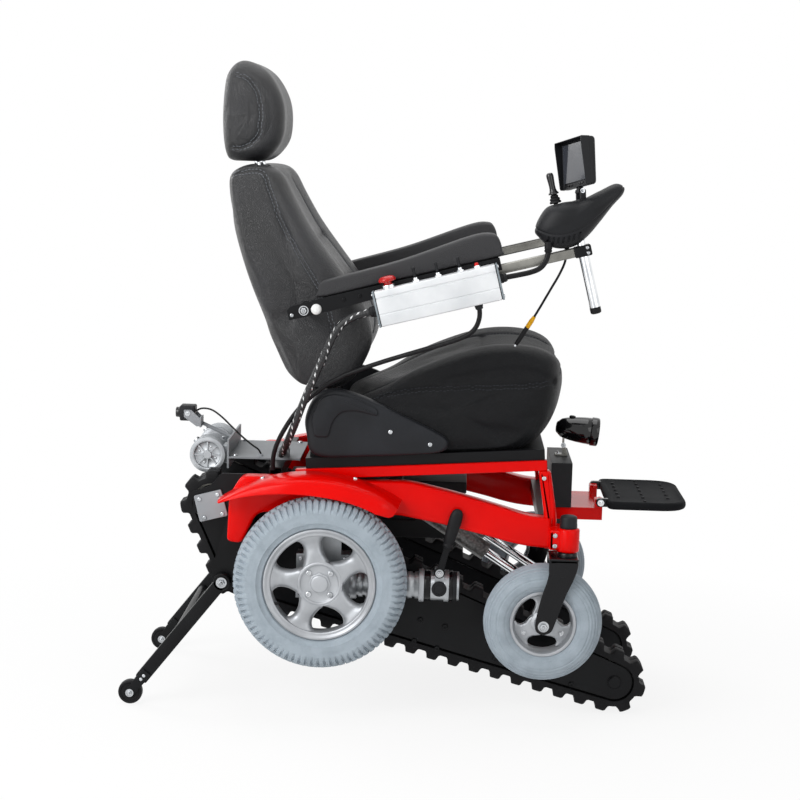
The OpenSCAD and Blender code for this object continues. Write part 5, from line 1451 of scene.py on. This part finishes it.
def make_monitor():
    """Small monitor in a sun hood: case with a rounded rim, glass, keys and a tilting foot."""
    w, h = 59, 49

    def frame_ring(x, grow, r=6):
        outline = rounded(oblong(-w - grow, w + grow, -h - grow, h + grow), r, 5)
        return [Vector((x, y, z)) for y, z in outline]

    case = skin([frame_ring(*at)
                 for at in ((14, -6, 8), (13, -2.5, 7), (10, -0.6), (6, 0), (-1, 0), (-4, -0.8), (-4, -5, 3),
                            (-2.6, -6, 3))])
    vents = [brick((13.2, y, -16), (14.6, y + 3, 16)) for y in range(-36, 37, 12)]
    piece("monitor_case", on_monitor(case, *vents), ABS_BLACK, "monitor", replaces=("monitor",), sharp=40)
    # Hood: a thin roof and two cheeks that narrow downwards
    eave = ((0, h - 2.5), (0, h), (-19, h - 0.2), (-20, h - 1.2), (-19, h - 2.4))
    roof = skin([[Vector((x, y, z)) for x, z in eave] for y in np.linspace(-w, w, 9)])
    cheek = [(0, -h), (0, h), (-19, h), (-20, h - 2), (-20, h - 12), (-11, -h + 3), (-9, -h)]
    cheeks = [plate(cheek, y, y + 2.4) for y in (-w, w - 2.4)]
    piece("monitor_hood", on_monitor(roof, *cheeks), ABS_BLACK, "monitor", edge=0.7)
    pane = rounded(oblong(-w + 7, w - 7, -h + 12, h - 7), 2, 3)
    glass = skin([[Vector((x, y, z)) for y, z in pane] for x in (-2.4, -4.3)])
    piece("monitor_glass", on_monitor(glass), SCREEN, "monitor", edge=0.4)
    keys = [lathe([(0, 0), (2.4, 0), (2.4, 1.2), (1.6, 1.8), (0, 1.9)], (-3.9, y, -h + 6), BACKWARD, 16)
            for y in (-30, -18, 18, 30)]
    piece("monitor_keys", on_monitor(*keys), GLOSS_BLACK, "monitor")
    foot = plate(rounded(oblong(0, 10, -62, -47), [4, 4, 0.5, 0.5]), -6, 6)
    piece("monitor_foot", on_monitor(foot), ABS_BLACK, "monitor", edge=0.8)
    ears = [plate(rounded(oblong(1, 13, -81, -53), [1, 1, 5, 5]), y - 2.5, y + 2.5) for y in (-9.5, 9.5)]
    base = brick((-5, -16, -82), (19, 16, -75))
    piece("monitor_ears", on_monitor(*ears, base), ABS_BLACK, "arm_right", edge=1.0)
    nuts = [p for y, s in ((-12, -1), (12, 1)) for p in hex_head((5, y, -57), (0, s, 0), 3.4)]
    piece("monitor_ear_nuts", on_monitor(*nuts), ZINC, "arm_right")


make_controller()
make_monitor()


# Headlight, footplate and caster forks

LAMP_AT = Vector((498, 0, 600))
LAMP_TILT = math.radians(6)


def make_headlight():
    """Bullet shaped lamp with a switch, a bezel, and a reflector behind a lens, on a bright strap."""
    axis = Vector((math.cos(LAMP_TILT), 0, -math.sin(LAMP_TILT)))
    shell = [(0, 0), (8, 0.4), (12, 2), (14, 5), (17, 8), (20.4, 12), (23.6, 22), (26, 34), (28, 48),
             (29.4, 62), (30.2, 76), (29.6, 77), (30.2, 78)]
    piece("headlight_body", [lathe(shell + [(0, 78)], LAMP_AT, axis, 64)], GLOSS_BLACK, "chassis",
          replaces=("headlight",), sharp=35, slot="gloss_black")
    bezel = [(30, 78), (31.6, 78.6), (32, 80), (32, 91), (31, 94.6), (29.4, 95.6), (27.6, 95), (26.9, 91),
             (26.8, 84), (30, 78)]
    piece("headlight_bezel", [lathe(bezel, LAMP_AT, axis, 64)], GLOSS_BLACK, "chassis", sharp=50)
    bowl = [(27, 90), (23, 84), (15, 80), (6, 78.6), (0, 78.4), (0, 78), (27, 78), (27, 90)]
    piece("headlight_reflector", [lathe(bowl, LAMP_AT, axis, 48)], CHROME, "chassis", sharp=60)
    glass = [(0, 95.4), (12, 95), (22, 93.6), (27, 91.4), (27, 89.4), (12, 92.6), (0, 93)]
    piece("headlight_lens", [lathe(glass, LAMP_AT, axis, 48)], LENS, "chassis", sharp=60)
    up = Vector((math.sin(LAMP_TILT), 0, math.cos(LAMP_TILT)))
    knob = lathe([(0, 0), (7, 0), (7.4, 1), (7, 3.4), (5, 4.6), (0, 5)], LAMP_AT + axis * 34 + up * 25, up,
                 28)
    piece("headlight_switch", [knob], SOFT_BLACK, "chassis", slot="black_plastic")
    strap = [brick((498, -12, 536.3), (526, 12, 540)), brick((514, -9, 538), (518, 9, 582))]
    gusset = plate([(518, 540), (526, 540), (518, 566)], -9, -7)
    piece("headlight_strap", strap + both([gusset]), DULL_STEEL, "chassis", edge=0.6)
    bolts = [p for y in (-7, 7) for p in hex_head((505, y, 540), UPWARD, 3)]
    piece("headlight_bolts", bolts + hex_head((516, -9, 560), RIGHTWARD, 4), ZINC, "chassis")


def make_footplate():
    """Thick moulded plate with a full round rim, a field of domed studs and a hinge at its back."""
    x0, x1, half, mid = 608, 783, 150, 452
    outline = rounded(oblong(x0, x1, -half, half), [16, 62, 62, 16], 10)
    centre = Vector((690, 0))

    def ring(z, inset):
        made = []
        for x, y in outline:
            d = Vector((x, y)) - centre
            made.append(Vector((x - inset * d.x / 88, y - inset * d.y / 150, z)))
        return made

    h = 9
    layers = [(-h, 9), (-h + 0.6, 5), (-h + 2.4, 2), (-h + 5, 0.5), (-1, 0), (h - 5, 0.4), (h - 2, 1.6),
              (h - 0.6, 4), (h, 7), (h, 10), (h - 1.2, 12)]
    piece("footplate_moulding", [skin([ring(mid + z, inset) for z, inset in layers])], FOOT_BLACK,
          "footplate", replaces=("footplate",), sharp=40)
    studs = [lathe([(0, -1.6), (3.6, -1.6), (3.5, 0.6), (2.9, 1.6), (1.6, 2), (0, 2.1)], (x, 42 * j, mid + h),
                   UPWARD, 16) for x, n in ((636, 2), (690, 3), (744, 2)) for j in range(-n, n + 1)]
    piece("footplate_studs", studs, SOFT_BLACK, "footplate", slot="track_rubber")
    knuckles = []
    for way in SIDES.values():
        y0, y1 = -115 * way, -101 * way
        knuckles.append(loft_y(rounded(oblong(586.4, 612, mid - 9, mid + 9), [9, 1, 1, 9], 8),
                               soft_edge(y0, y1, 1.4, 3)))
    piece("footplate_knuckles", knuckles, BLACK_GLOSS, "footplate")
    bolts = [p for way in SIDES.values() for p in hex_head((596, -116 * way, mid), (0, -way, 0), 5)]
    piece("footrest_hinge_bolts", bolts, CHROME, "chassis", slot="chrome")
    dress("footrest_arm", RED_PAINT, 2.4)
    dress("front_panel", ABS_BLACK, 2.5)


def make_forks():
    """Bent caster forks: a glossy crown rolled into two tapering legs, a stem cap and axle nuts."""
    y = -CASTER_Y
    body = "caster_fork_{}"
    top, low = 370, 358
    leg_out, leg_in = 46, 40
    front = smooth_line([(539, 0, top), (537, 0, 350), (530, 0, 328), (513, 0, 288), (494, 0, 232),
                         (486, 0, 214), (470, 0, 207)], 5)
    rear = smooth_line([(470, 0, 207), (456, 0, 214), (453, 0, 232), (462, 0, 280), (476, 0, 328),
                        (477, 0, 350), (477, 0, top)], 5)
    outline = [(p.x, p.z) for p in front + rear[1:]]
    parts = [loft_y(outline, soft_edge(*sorted((y + s * leg_in, y + s * leg_out)), 2.2, 4)) for s in (-1, 1)]
    parts.append(loft_y(rounded(oblong(477, 539, low, top), 4, 4), soft_edge(y - leg_out, y + leg_out, 5, 5)))
    stem = (STEM_X, y, 0)
    parts.append(lathe([(0, 369), (21, 369), (21, 375), (19, 377.6), (0, 377.6)], stem, UPWARD, 40))
    pair("caster_fork_{}_pressing", parts, BLACK_GLOSS, body, replaces=(body,), sharp=45)
    cap = lathe([(0, 428.4), (18, 428.4), (18.6, 430), (18.6, 436), (18, 438), (18, 449), (16.6, 453),
                 (12, 455), (0, 455.3)], stem, UPWARD, 40)
    pair("caster_stem_cap_{}", [cap], ABS_BLACK, body, sharp=50)
    nuts = [p for s in (-1, 1) for p in hex_head((CASTER[0], y + s * leg_out, CASTER[1]), (0, s, 0), 8)]
    pair("caster_axle_nuts_{}", nuts, ZINC, body)


make_headlight()
make_footplate()
make_forks()


# Seat covers, motors, rear deck and camera

COVER_SIDE = [(-38, 600), (-42, 640), (-22, 686), (20, 702), (80, 688), (155, 654), (225, 622), (258, 600),
              (248, 576), (180, 567), (80, 560), (0, 556), (-30, 568)]
TRACK_MOTOR = (-266, 530)
SHAFT_Z = 282


def make_covers():
    """Seat side covers: domed plastic shells with a raised lever shaped panel and two screws."""
    outline = smooth_line([(x, 0, z) for x, z in COVER_SIDE], 8, closed=True)
    middle = Vector((95, 0, 622))
    layers = [(-238.3, 0.0), (-250, 0.0), (-254, 0.012), (-257.6, 0.035), (-259.4, 0.07), (-260.2, 0.12),
              (-260.6, 0.2)]
    rings = [[middle + (p - middle) * (1 - shrink) + Vector((0, y, 0)) for p in outline]
             for y, shrink in layers]
    rings += [[middle + (p - middle) * k + Vector((0, -260.8, 0)) for p in outline]
              for k in (0.66, 0.4, 0.15)]
    pair("side_cover_{}_shell", [skin(rings)], ABS_GREY, "chassis", replaces=("side_covers",), sharp=50)
    lever = rounded([(-30, 640), (-12, 684), (18, 694), (60, 686), (110, 664), (112, 648), (66, 658),
                     (34, 656), (16, 634), (8, 600), (-22, 600)], [8, 16, 12, 10, 8, 8, 14, 16, 16, 8, 8], 5)
    panel = loft_y(lever, [(-258, 0), (-262.6, 0.4), (-264.2, 1.6), (-265, 4)])
    pair("side_cover_{}_panel", [panel], ABS_GREY, "chassis", sharp=40)
    screws = [button_head((x, -260.6, z), RIGHTWARD, 5) for x, z in ((138, 616), (222, 592))]
    pair("side_cover_{}_screws", screws, ZINC, "chassis")


def make_track_motors():
    """Track drive motors: finned die cast cans with ribbed ends, end bells, screws and cable bosses."""
    x, z = TRACK_MOTOR
    at = (x, 0, z)
    cans, bells, screws, ribs = [], [], [], []
    for way in SIDES.values():
        fins = []
        for i in range(9):
            y = -112 + i * 6.6
            fins += [(33, y), (38.6, y + 0.6), (38.8, y + 2.4), (38.4, y + 3.4), (33.4, y + 4)]
        face = [(0, -112), (8.6, -112), (9.6, -111), (9.8, -107), (11, -106), (26.6, -106), (28, -107),
                (29, -111.4), (30.4, -112)]
        cans.append(lathe(face + fins + [(33, -50), (0, -50)], at, (0, way, 0), 56))
        for k in range(8):
            a = math.radians(45 * k)
            out, aside = Vector((math.cos(a), 0, math.sin(a))), Vector((-math.sin(a), 0, math.cos(a)))
            ribs.append(skin([[Vector((x, y * way, z)) + out * r + aside * t
                               for r, t in oblong(9, 28.4, -1.4, 1.4)] for y in (-105.6, -110.4)]))
            if k % 2:
                screws.append(button_head(ring_point(TRACK_MOTOR, 19, a + 0.4, -106 * way), (0, -way, 0),
                                          2.6))
        bells.append(lathe([(0, -50), (36, -50), (36.6, -48), (36, -45), (31, -43), (31, -24), (29, -20),
                            (24, -18.2), (0, -18.2)], at, (0, way, 0), 56))
        for k in range(4):
            where = ring_point(TRACK_MOTOR, 27, math.radians(45 + 90 * k), -18.4 * way)
            screws.append(button_head(where, (0, way, 0), 3.4))
        screws.append(lathe([(0, 30), (8, 30), (8, 40), (6.6, 43), (0, 43)], (x, -80 * way, z),
                            (-0.7, 0, 0.71), 20))
    mounts = [loft_y(rounded(oblong(-262, -222.6, 510, 550), 4), soft_edge(-92 * way, -52 * way, 2, 3))
              for way in SIDES.values()]
    piece("track_motor_cans", cans + ribs + mounts, DIE_CAST, "chassis", replaces=("track_motors",), sharp=40,
          slot="cast_alloy")
    piece("track_motor_bells", bells, RIM_ALLOY, "chassis", sharp=35)
    piece("track_motor_screws", screws, ZINC, "chassis")


def make_camera():
    """Cube camera with a ringed lens in a slotted bright bracket on its stalk."""
    x, y, z = -316, -50, 614
    cube = loft_y(rounded(oblong(x - 18, x + 16, z - 17, z + 17), 4), soft_edge(y - 18, y + 18, 3, 4))
    piece("camera_case", [cube], ABS_BLACK, "camera", replaces=("rear_camera",))
    ring = lathe([(0, 17), (13.4, 17), (13.4, 19), (12.4, 19.6), (12.4, 21), (11.4, 21.6), (11.4, 26.6),
                  (10.4, 28), (8.6, 28), (6.4, 25), (0, 24.6)], (x, y, z), BACKWARD, 36)
    piece("camera_lens_barrel", [ring], GLOSS_BLACK, "camera", sharp=40)
    piece("camera_lens", [lathe([(0, 24.4), (6.3, 24.4), (6, 25.6), (3.4, 27), (0, 27.4)], (x, y, z),
                                BACKWARD, 24)], LENS, "camera", sharp=70)
    nuts = [p for s in (-1, 1) for p in hex_head((x, y + s * 21.6, z), (0, s, 0), 3.6)]
    piece("camera_bracket_nuts", nuts, ZINC, "chassis")
    dress("rear_deck", GREY_COAT, 0.8)
    bolts = []
    for bx in (-206, -80):
        for by in (-104, 104):
            if (bx, by) != (-80, -104):
                bolts.append(button_head((bx, by, 529), UPWARD, 5))
    piece("rear_deck_bolts", bolts, ZINC, "chassis")


def make_gearmotors():
    """Drive motors: collars, end caps and ports over the CAD castings, and the freewheel levers."""
    def on_shaft(profile, x):
        return lathe(profile, (x, -227, SHAFT_Z), FORWARD, 48)

    collar = on_shaft([(29.2, 0), (32, 0), (33.4, 2), (33.4, 12), (32, 14), (29.2, 14), (29.2, 0)], 60)
    ring = on_shaft([(30.8, 0), (34.6, 0.6), (35.4, 3), (35.4, 9), (34.6, 11.4), (30.8, 12), (30.8, 0)], 206)
    pair("gearmotor_{}_collars", [collar, ring], RIM_ALLOY, "chassis", sharp=50)
    sleeves = [on_shaft([(30.6, 0), (32, 0.3), (32.6, 1.4), (32.6, w - 1.4), (32, w - 0.3), (30.6, w),
                         (30.6, 0)], x) for x, w in ((218, 14), (271, 8))]
    pair("gearmotor_{}_sleeves", sleeves, BLACK_GLOSS, "chassis", sharp=50)
    port = lathe([(0, 0), (15, 0), (16, 1.4), (16, 6), (14.6, 8), (11, 8.4), (10, 7), (0, 7)],
                 (250, -256, SHAFT_Z), RIGHTWARD, 36)
    cap = on_shaft([(0, 0), (31.4, 0), (31.6, 1), (31.4, 9), (28, 14), (20, 16), (0, 16.4)], 278)
    pair("gearmotor_{}_port", [port, cap], ABS_BLACK, "chassis", sharp=45)
    bolts = [button_head((x, -253.2, z), RIGHTWARD, 5) for x in (-46, 48) for z in (262, 338)]
    pair("gearmotor_{}_bolts", bolts, ZINC, "chassis")

    # Lever: flat steel blade, hub and a broad rubber grip
    foot, head = Vector((250, -264, 318)), Vector((284, -266, 448))
    d = (head - foot).normalized()
    n = Vector((d.z, 0, -d.x))
    reach = (head - foot).length
    hub = lathe([(5.1, -4), (11, -4), (11.6, -3), (11.6, 3), (11, 4), (5.1, 4), (5.1, -4)], foot, LEFTWARD,
                36)
    blade = skin([[foot + d * s + n * w * k + Vector((0, dy, 0)) for k, dy in oblong(-1, 1, -3, 3)]
                  for s, w in ((4, 8), (20, 7), (reach * 0.55, 6.5))])
    pair("freewheel_lever_{}_blade", [hub, blade], BLACK_COAT, "lever_{}", edge=0.8,
         replaces=("freewheel_lever_{}",), slot="black_steel")
    # Share of the lever's reach, half width and half thickness of the grip
    shares = [(0.42, 7, 5), (0.425, 9, 6.6), (0.45, 10.4, 7.6), (0.47, 10.8, 7.8), (0.475, 10, 7.2),
              (0.49, 10, 7.2), (0.5, 11.2, 8), (0.62, 12.6, 8.6), (0.76, 13.6, 9), (0.88, 14, 9),
              (0.96, 13.4, 8.6), (1.02, 11.2, 7.6), (1.055, 7.6, 5.4), (1.07, 3.4, 2.6)]
    turns = [2 * math.pi * k / 28 for k in range(28)]
    grip = [[foot + Vector((0, -1.5, 0)) + d * reach * s + n * a * math.cos(t)
             + Vector((0, b * math.sin(t), 0)) for t in turns] for s, a, b in shares]
    pair("freewheel_lever_{}_grip", [skin(grip)], SOFT_BLACK, "lever_{}", sharp=60)
    pair("freewheel_lever_{}_nut", hex_head((250, -269, 318), RIGHTWARD, 6), ZINC, "chassis")
    dress("gearmotors", DIE_CAST, 1.2)


make_covers()
make_track_motors()
make_camera()
make_gearmotors()


# Climbing tracks and rear arms

SPROCKET = Vector((-246, 0, 438))
REAR_SHOE = Vector((-179, 0, 290))
IDLER = Vector((636, 0, 70))
TRACK_WHEEL = 42
BELT = 12
LUG = 16
LUGS = 48
TRACK_Y = 155


def loop_frames(r, count):
    """Points and outward directions evenly along a belt of radius r round the three track wheels."""
    centres = [REAR_SHOE, IDLER, SPROCKET]
    runs = []
    for k in range(3):
        a, b, c = centres[k - 1], centres[k], centres[(k + 1) % 3]
        d0, d1 = (b - a).normalized(), (c - b).normalized()
        n0, n1 = Vector((d0.z, 0, -d0.x)), Vector((d1.z, 0, -d1.x))
        a0, a1 = math.atan2(n0.z, n0.x), math.atan2(n1.z, n1.x)
        runs.append(("arc", b, a0, (a1 - a0) % (2 * math.pi)))
        runs.append(("line", b + n1 * r, n1, c - b))
    total = sum(r * q[3] if q[0] == "arc" else q[3].length for q in runs)
    made = []
    for i in range(count):
        s = total * i / count
        for q in runs:
            long = r * q[3] if q[0] == "arc" else q[3].length
            if s <= long:
                break
            s -= long
        if q[0] == "arc":
            a = q[2] + s / r
            n = Vector((math.cos(a), 0, math.sin(a)))
            made.append((q[1] + n * r, n))
        else:
            made.append((q[1] + q[3].normalized() * s, q[2]))
    return made


def belt_skin(y):
    """Moulded belt: softly rounded lugs with sloping flanks, drawn in towards the belt's edges."""
    per_lug = 14
    r = TRACK_WHEEL + BELT
    half = 30
    cross = [(-1.0, 0.0), (-0.985, 0.5), (-0.93, 0.86), (-0.8, 1.0), (-0.5, 1.0), (-0.12, 1.0), (-0.04, 0.7),
             (0.04, 0.7), (0.12, 1.0), (0.5, 1.0), (0.8, 1.0), (0.93, 0.86), (0.985, 0.5), (1.0, 0.0)]
    rings = []
    for i, (p, n) in enumerate(loop_frames(r, LUGS * per_lug)):
        t = (i % per_lug) / per_lug
        lift = ramp(t, 0.02, 0.16) * (1 - ramp(t, 0.54, 0.68))
        ring = []
        for s, share in cross:
            height = -3.0 + 3.0 * min(1.0, share * 1.6) + lift * (LUG - 1.2) * share
            ring.append(p + n * height + Vector((0, y + s * half, 0)))
        for s in (1.0, 0.6, 0.0, -0.6, -1.0):
            ring.append(p - n * (BELT - 0.3) + Vector((0, y + s * half, 0)))
        rings.append(ring)
    return skin(rings, closed=True)


def make_tracks():
    """Track belts and the bolts of the plates, over the CAD frame, sprockets, idlers and actuators."""
    belts = [belt_skin(-TRACK_Y), belt_skin(TRACK_Y)]
    piece("track_belt_mouldings", belts, TRACK_BLACK, "track", replaces=("track_belts",), sharp=50)
    places = [(211, 194), (265, 181), (199, 147), (249, 132), (376, 112), (425, 94), (543, 62), (-150, 330),
              (-200, 400)]
    face = -181.2
    bolts = [button_head((x, face, z), RIGHTWARD, 6) for x, z in places]
    bolts.append(lathe([(0, 0), (13, 0), (14, 1.4), (14, 4), (12, 6), (0, 6.6)], (IDLER.x, face, IDLER.z),
                       RIGHTWARD, 32))
    piece("track_plate_bolts", both(bolts), BLACK_COAT, "track")
    dress("track_frame", BLACK_COAT, 1.0)
    dress("track_sprockets", DULL_STEEL, 1.0)
    dress("front_idlers", SOFT_BLACK, 2.0)
    dress("actuator_tubes", HAMMER_GREY, 1.0)
    dress("actuator_rods", CHROME, 0.8)


def make_rear_arms():
    """Rear arms: flat bars with eased edges, hub caps, a fork with plates and bolts, and rubber rollers."""
    y = -226
    pivot, end = Vector((-216, y, 275)), Vector((-411, y, 26))
    d = (end - pivot).normalized()
    n = Vector((-d.z, 0, d.x))
    reach = (end - pivot).length

    def bar(points, y0, y1, r):
        return loft_y([((pivot + d * s + n * w).x, (pivot + d * s + n * w).z) for s, w in points],
                      soft_edge(y0, y1, r, 4))

    main = bar(rounded(oblong(-2, reach - 36, -14, 14), 4), -236, -216, 2.2)
    hub = lathe([(6.1, -10), (17, -10), (18.4, -8.4), (18.4, 8.4), (17, 10), (6.1, 10), (6.1, -10)], pivot,
                LEFTWARD, 48)
    cheek = rounded([(reach - 56, -11), (reach + 8, -10), (reach + 8, 10), (reach - 56, 11)], [4, 9, 9, 4], 6)
    cheeks = [bar(cheek, y + s * 12.6 - 2, y + s * 12.6 + 2, 0.8) for s in (-1, 1)]
    block = bar(rounded(oblong(reach - 60, reach - 32, -10, 10), 2), -241, -211, 1)
    middle = (pivot + end) / 2
    cross = sweep([(middle.x, across_y, middle.z) for across_y in (y, -100, 100, -y)], 11, 32)
    piece("rear_arm_bars", both([main, hub, block] + cheeks) + [cross], BLACK_COAT, "rear_arms",
          replaces=("rear_arms",), sharp=35)
    bolts = [p for s in (-1, 1) for p in hex_head(end + Vector((0, 14.8 * s, 0)), (0, s, 0), 6)]
    bolts += [button_head(pivot + d * (reach - s) + Vector((0, -15, 0)), RIGHTWARD, 4) for s in (50, 40)]
    piece("rear_arm_bolts", both(bolts), ZINC, "rear_arms")
    wheel = [(5.1, -10), (12, -10), (13, -8.6), (19, -8.6), (20.4, -10), (23.4, -10), (25.6, -8), (26, -5),
             (26, 5), (25.6, 8), (23.4, 10), (20.4, 10), (19, 8.6), (13, 8.6), (12, 10), (5.1, 10)]
    roller = lathe(wheel + [wheel[0]], end, LEFTWARD, 48)
    piece("arm_roller_tyres", both([roller]), SOFT_BLACK, "rollers", replaces=("arm_rollers",), sharp=40,
          slot="track_rubber")
    pin = hex_head(pivot + Vector((0, -12, 0)), RIGHTWARD, 8)
    face = -221
    square = loft_y(rounded([(-266, 402), (-206, 418), (-222, 474), (-280, 458)], 4),
                    soft_edge(face, -213.4, 1, 3))
    plate_bolts = [button_head((x, face, z), RIGHTWARD, 4.6)
                   for x, z in ((-256, 412), (-218, 422), (-229, 463), (-268, 452))]
    piece("arm_bracket_pins", both(pin) + both(plate_bolts), ZINC, "chassis")
    piece("sprocket_bearing_plates", both([square]), GREY_COAT, "chassis", slot="grey_steel")
    dress("arm_brackets", BLACK_COAT, 1.0)


make_tracks()
make_rear_arms()

# Frame parts that keep their CAD shape
dress("cross_frame", BLACK_COAT, 1.5)
dress("seat_rails", RED_PAINT, 2.0)
dress("battery_box", ABS_BLACK, 3.0)
dress("seat_pan", BLACK_COAT, 2.0)
dress("back_frame", BLACK_COAT, 1.0)
dress("armrest_bracket_right", BLACK_COAT, 0.8)
dress("armrest_bracket_left", BLACK_COAT, 0.8)


# Cables: each follows the route of its CAD solid

SLEEVE_R = 8
FEED_R = 5
HOSE_R = 5.5
VIDEO_R = 2.5
CAMERA_R = 2


def make_cords():
    """The five cables. The sleeve and the feed cable cross two joints, so each is made of two lengths that
    meet beside the back."""
    sleeve = [arm_point(133, -32, BOX_Y), (75, -325.3, 868), (54, -324.5, 860), (35, -323, 846),
              (20, -320, 826), (9, -316.5, 803), (-3, -311, 774), (-18, -304, 740), (-33, -296, 704),
              (-48, -285, 666), (-62, -270, 628), (-76, -248, 594), (-88, -218, 567), (-96, -184, 551),
              (-100, -150, 543), (-100, -118, 542)]
    feed = [arm_point(354, -76, BOX_Y), (316, -325, 868), (310, -324, 849), (297, -322, 834),
            (275, -319, 822), (240, -314, 809), (204, -308, 797), (166, -302, 784), (124, -293, 769),
            (80, -284, 752), (40, -277, 735), (4, -271, 714), (-28, -269, 688), (-58, -268, 656),
            (-82, -263, 620), (-100, -253, 584), (-109, -243, 552), (-110, -236, 524)]
    for name, route, meet, radius, finish, node in (("sleeve", sleeve, 7, SLEEVE_R, SLEEVE, "power_sleeve"),
                                                    ("feed", feed, 10, FEED_R, CABLE_PVC, "feed_cable")):
        free_cord(name + "_upper", route[:meet + 1], radius, finish, node, bend=("back", "arm_right"))
        free_cord(name + "_lower", route[meet:], radius, finish, node, bend=("chassis", "back"))
    hose = [arm_point(423, -24, BOX_Y), (394, -325, 958), (418, -323, 964), (436, -319, 972),
            (447.5, -314, 986), (452, -311, 1004)]
    free_cord("hose_to_controller", hose, HOSE_R, CABLE_PVC, "joystick_hose", body="arm_right")
    video = [(492, -270, 1002), (491, -270, 992), (487, -268, 976), (477, -264, 953), (465, -259, 930),
             (453, -254, 907), (441, -249, 884), (430, -245, 864)]
    way = Vector((-14, 7, -24)).normalized()
    tip = Vector(video[-1])
    plug = lathe([(0, -3), (3.4, -3), (3.8, 0), (4.4, 4), (5, 8), (5, 24), (4.6, 25), (0, 25)], tip, way, 24)
    shell = lathe([(0, 25), (4.9, 25), (5, 26), (5, 62), (4.4, 64), (4.4, 70), (0, 70)], tip, way, 24)
    probe = lathe([(0, 70), (3.2, 70), (3.2, 74.4), (2.6, 75), (0, 75)], tip, way, 16)
    yellow = piece("video_plug_grip", [plug], PLUG_YELLOW, "arm_right")
    black = piece("video_plug_shell", [shell], SOFT_BLACK, "arm_right", slot="cable_black")
    metal = piece("video_plug_contact", [probe], ZINC, "arm_right")
    free_cord("video_lead", video, VIDEO_R, CABLE_PVC, "video_cord", body="arm_right")
    camera = [(-299.5, -50, 618), (-286, -52, 624), (-264, -58, 622), (-240, -68, 608), (-216, -78, 588),
              (-192, -86, 568), (-170, -92, 552), (-156, -95, 543), (-150, -96, 533)]
    free_cord("camera_lead", camera, CAMERA_R, CABLE_PVC, "camera_cord",
              bend=("chassis", "camera"))


make_cords()
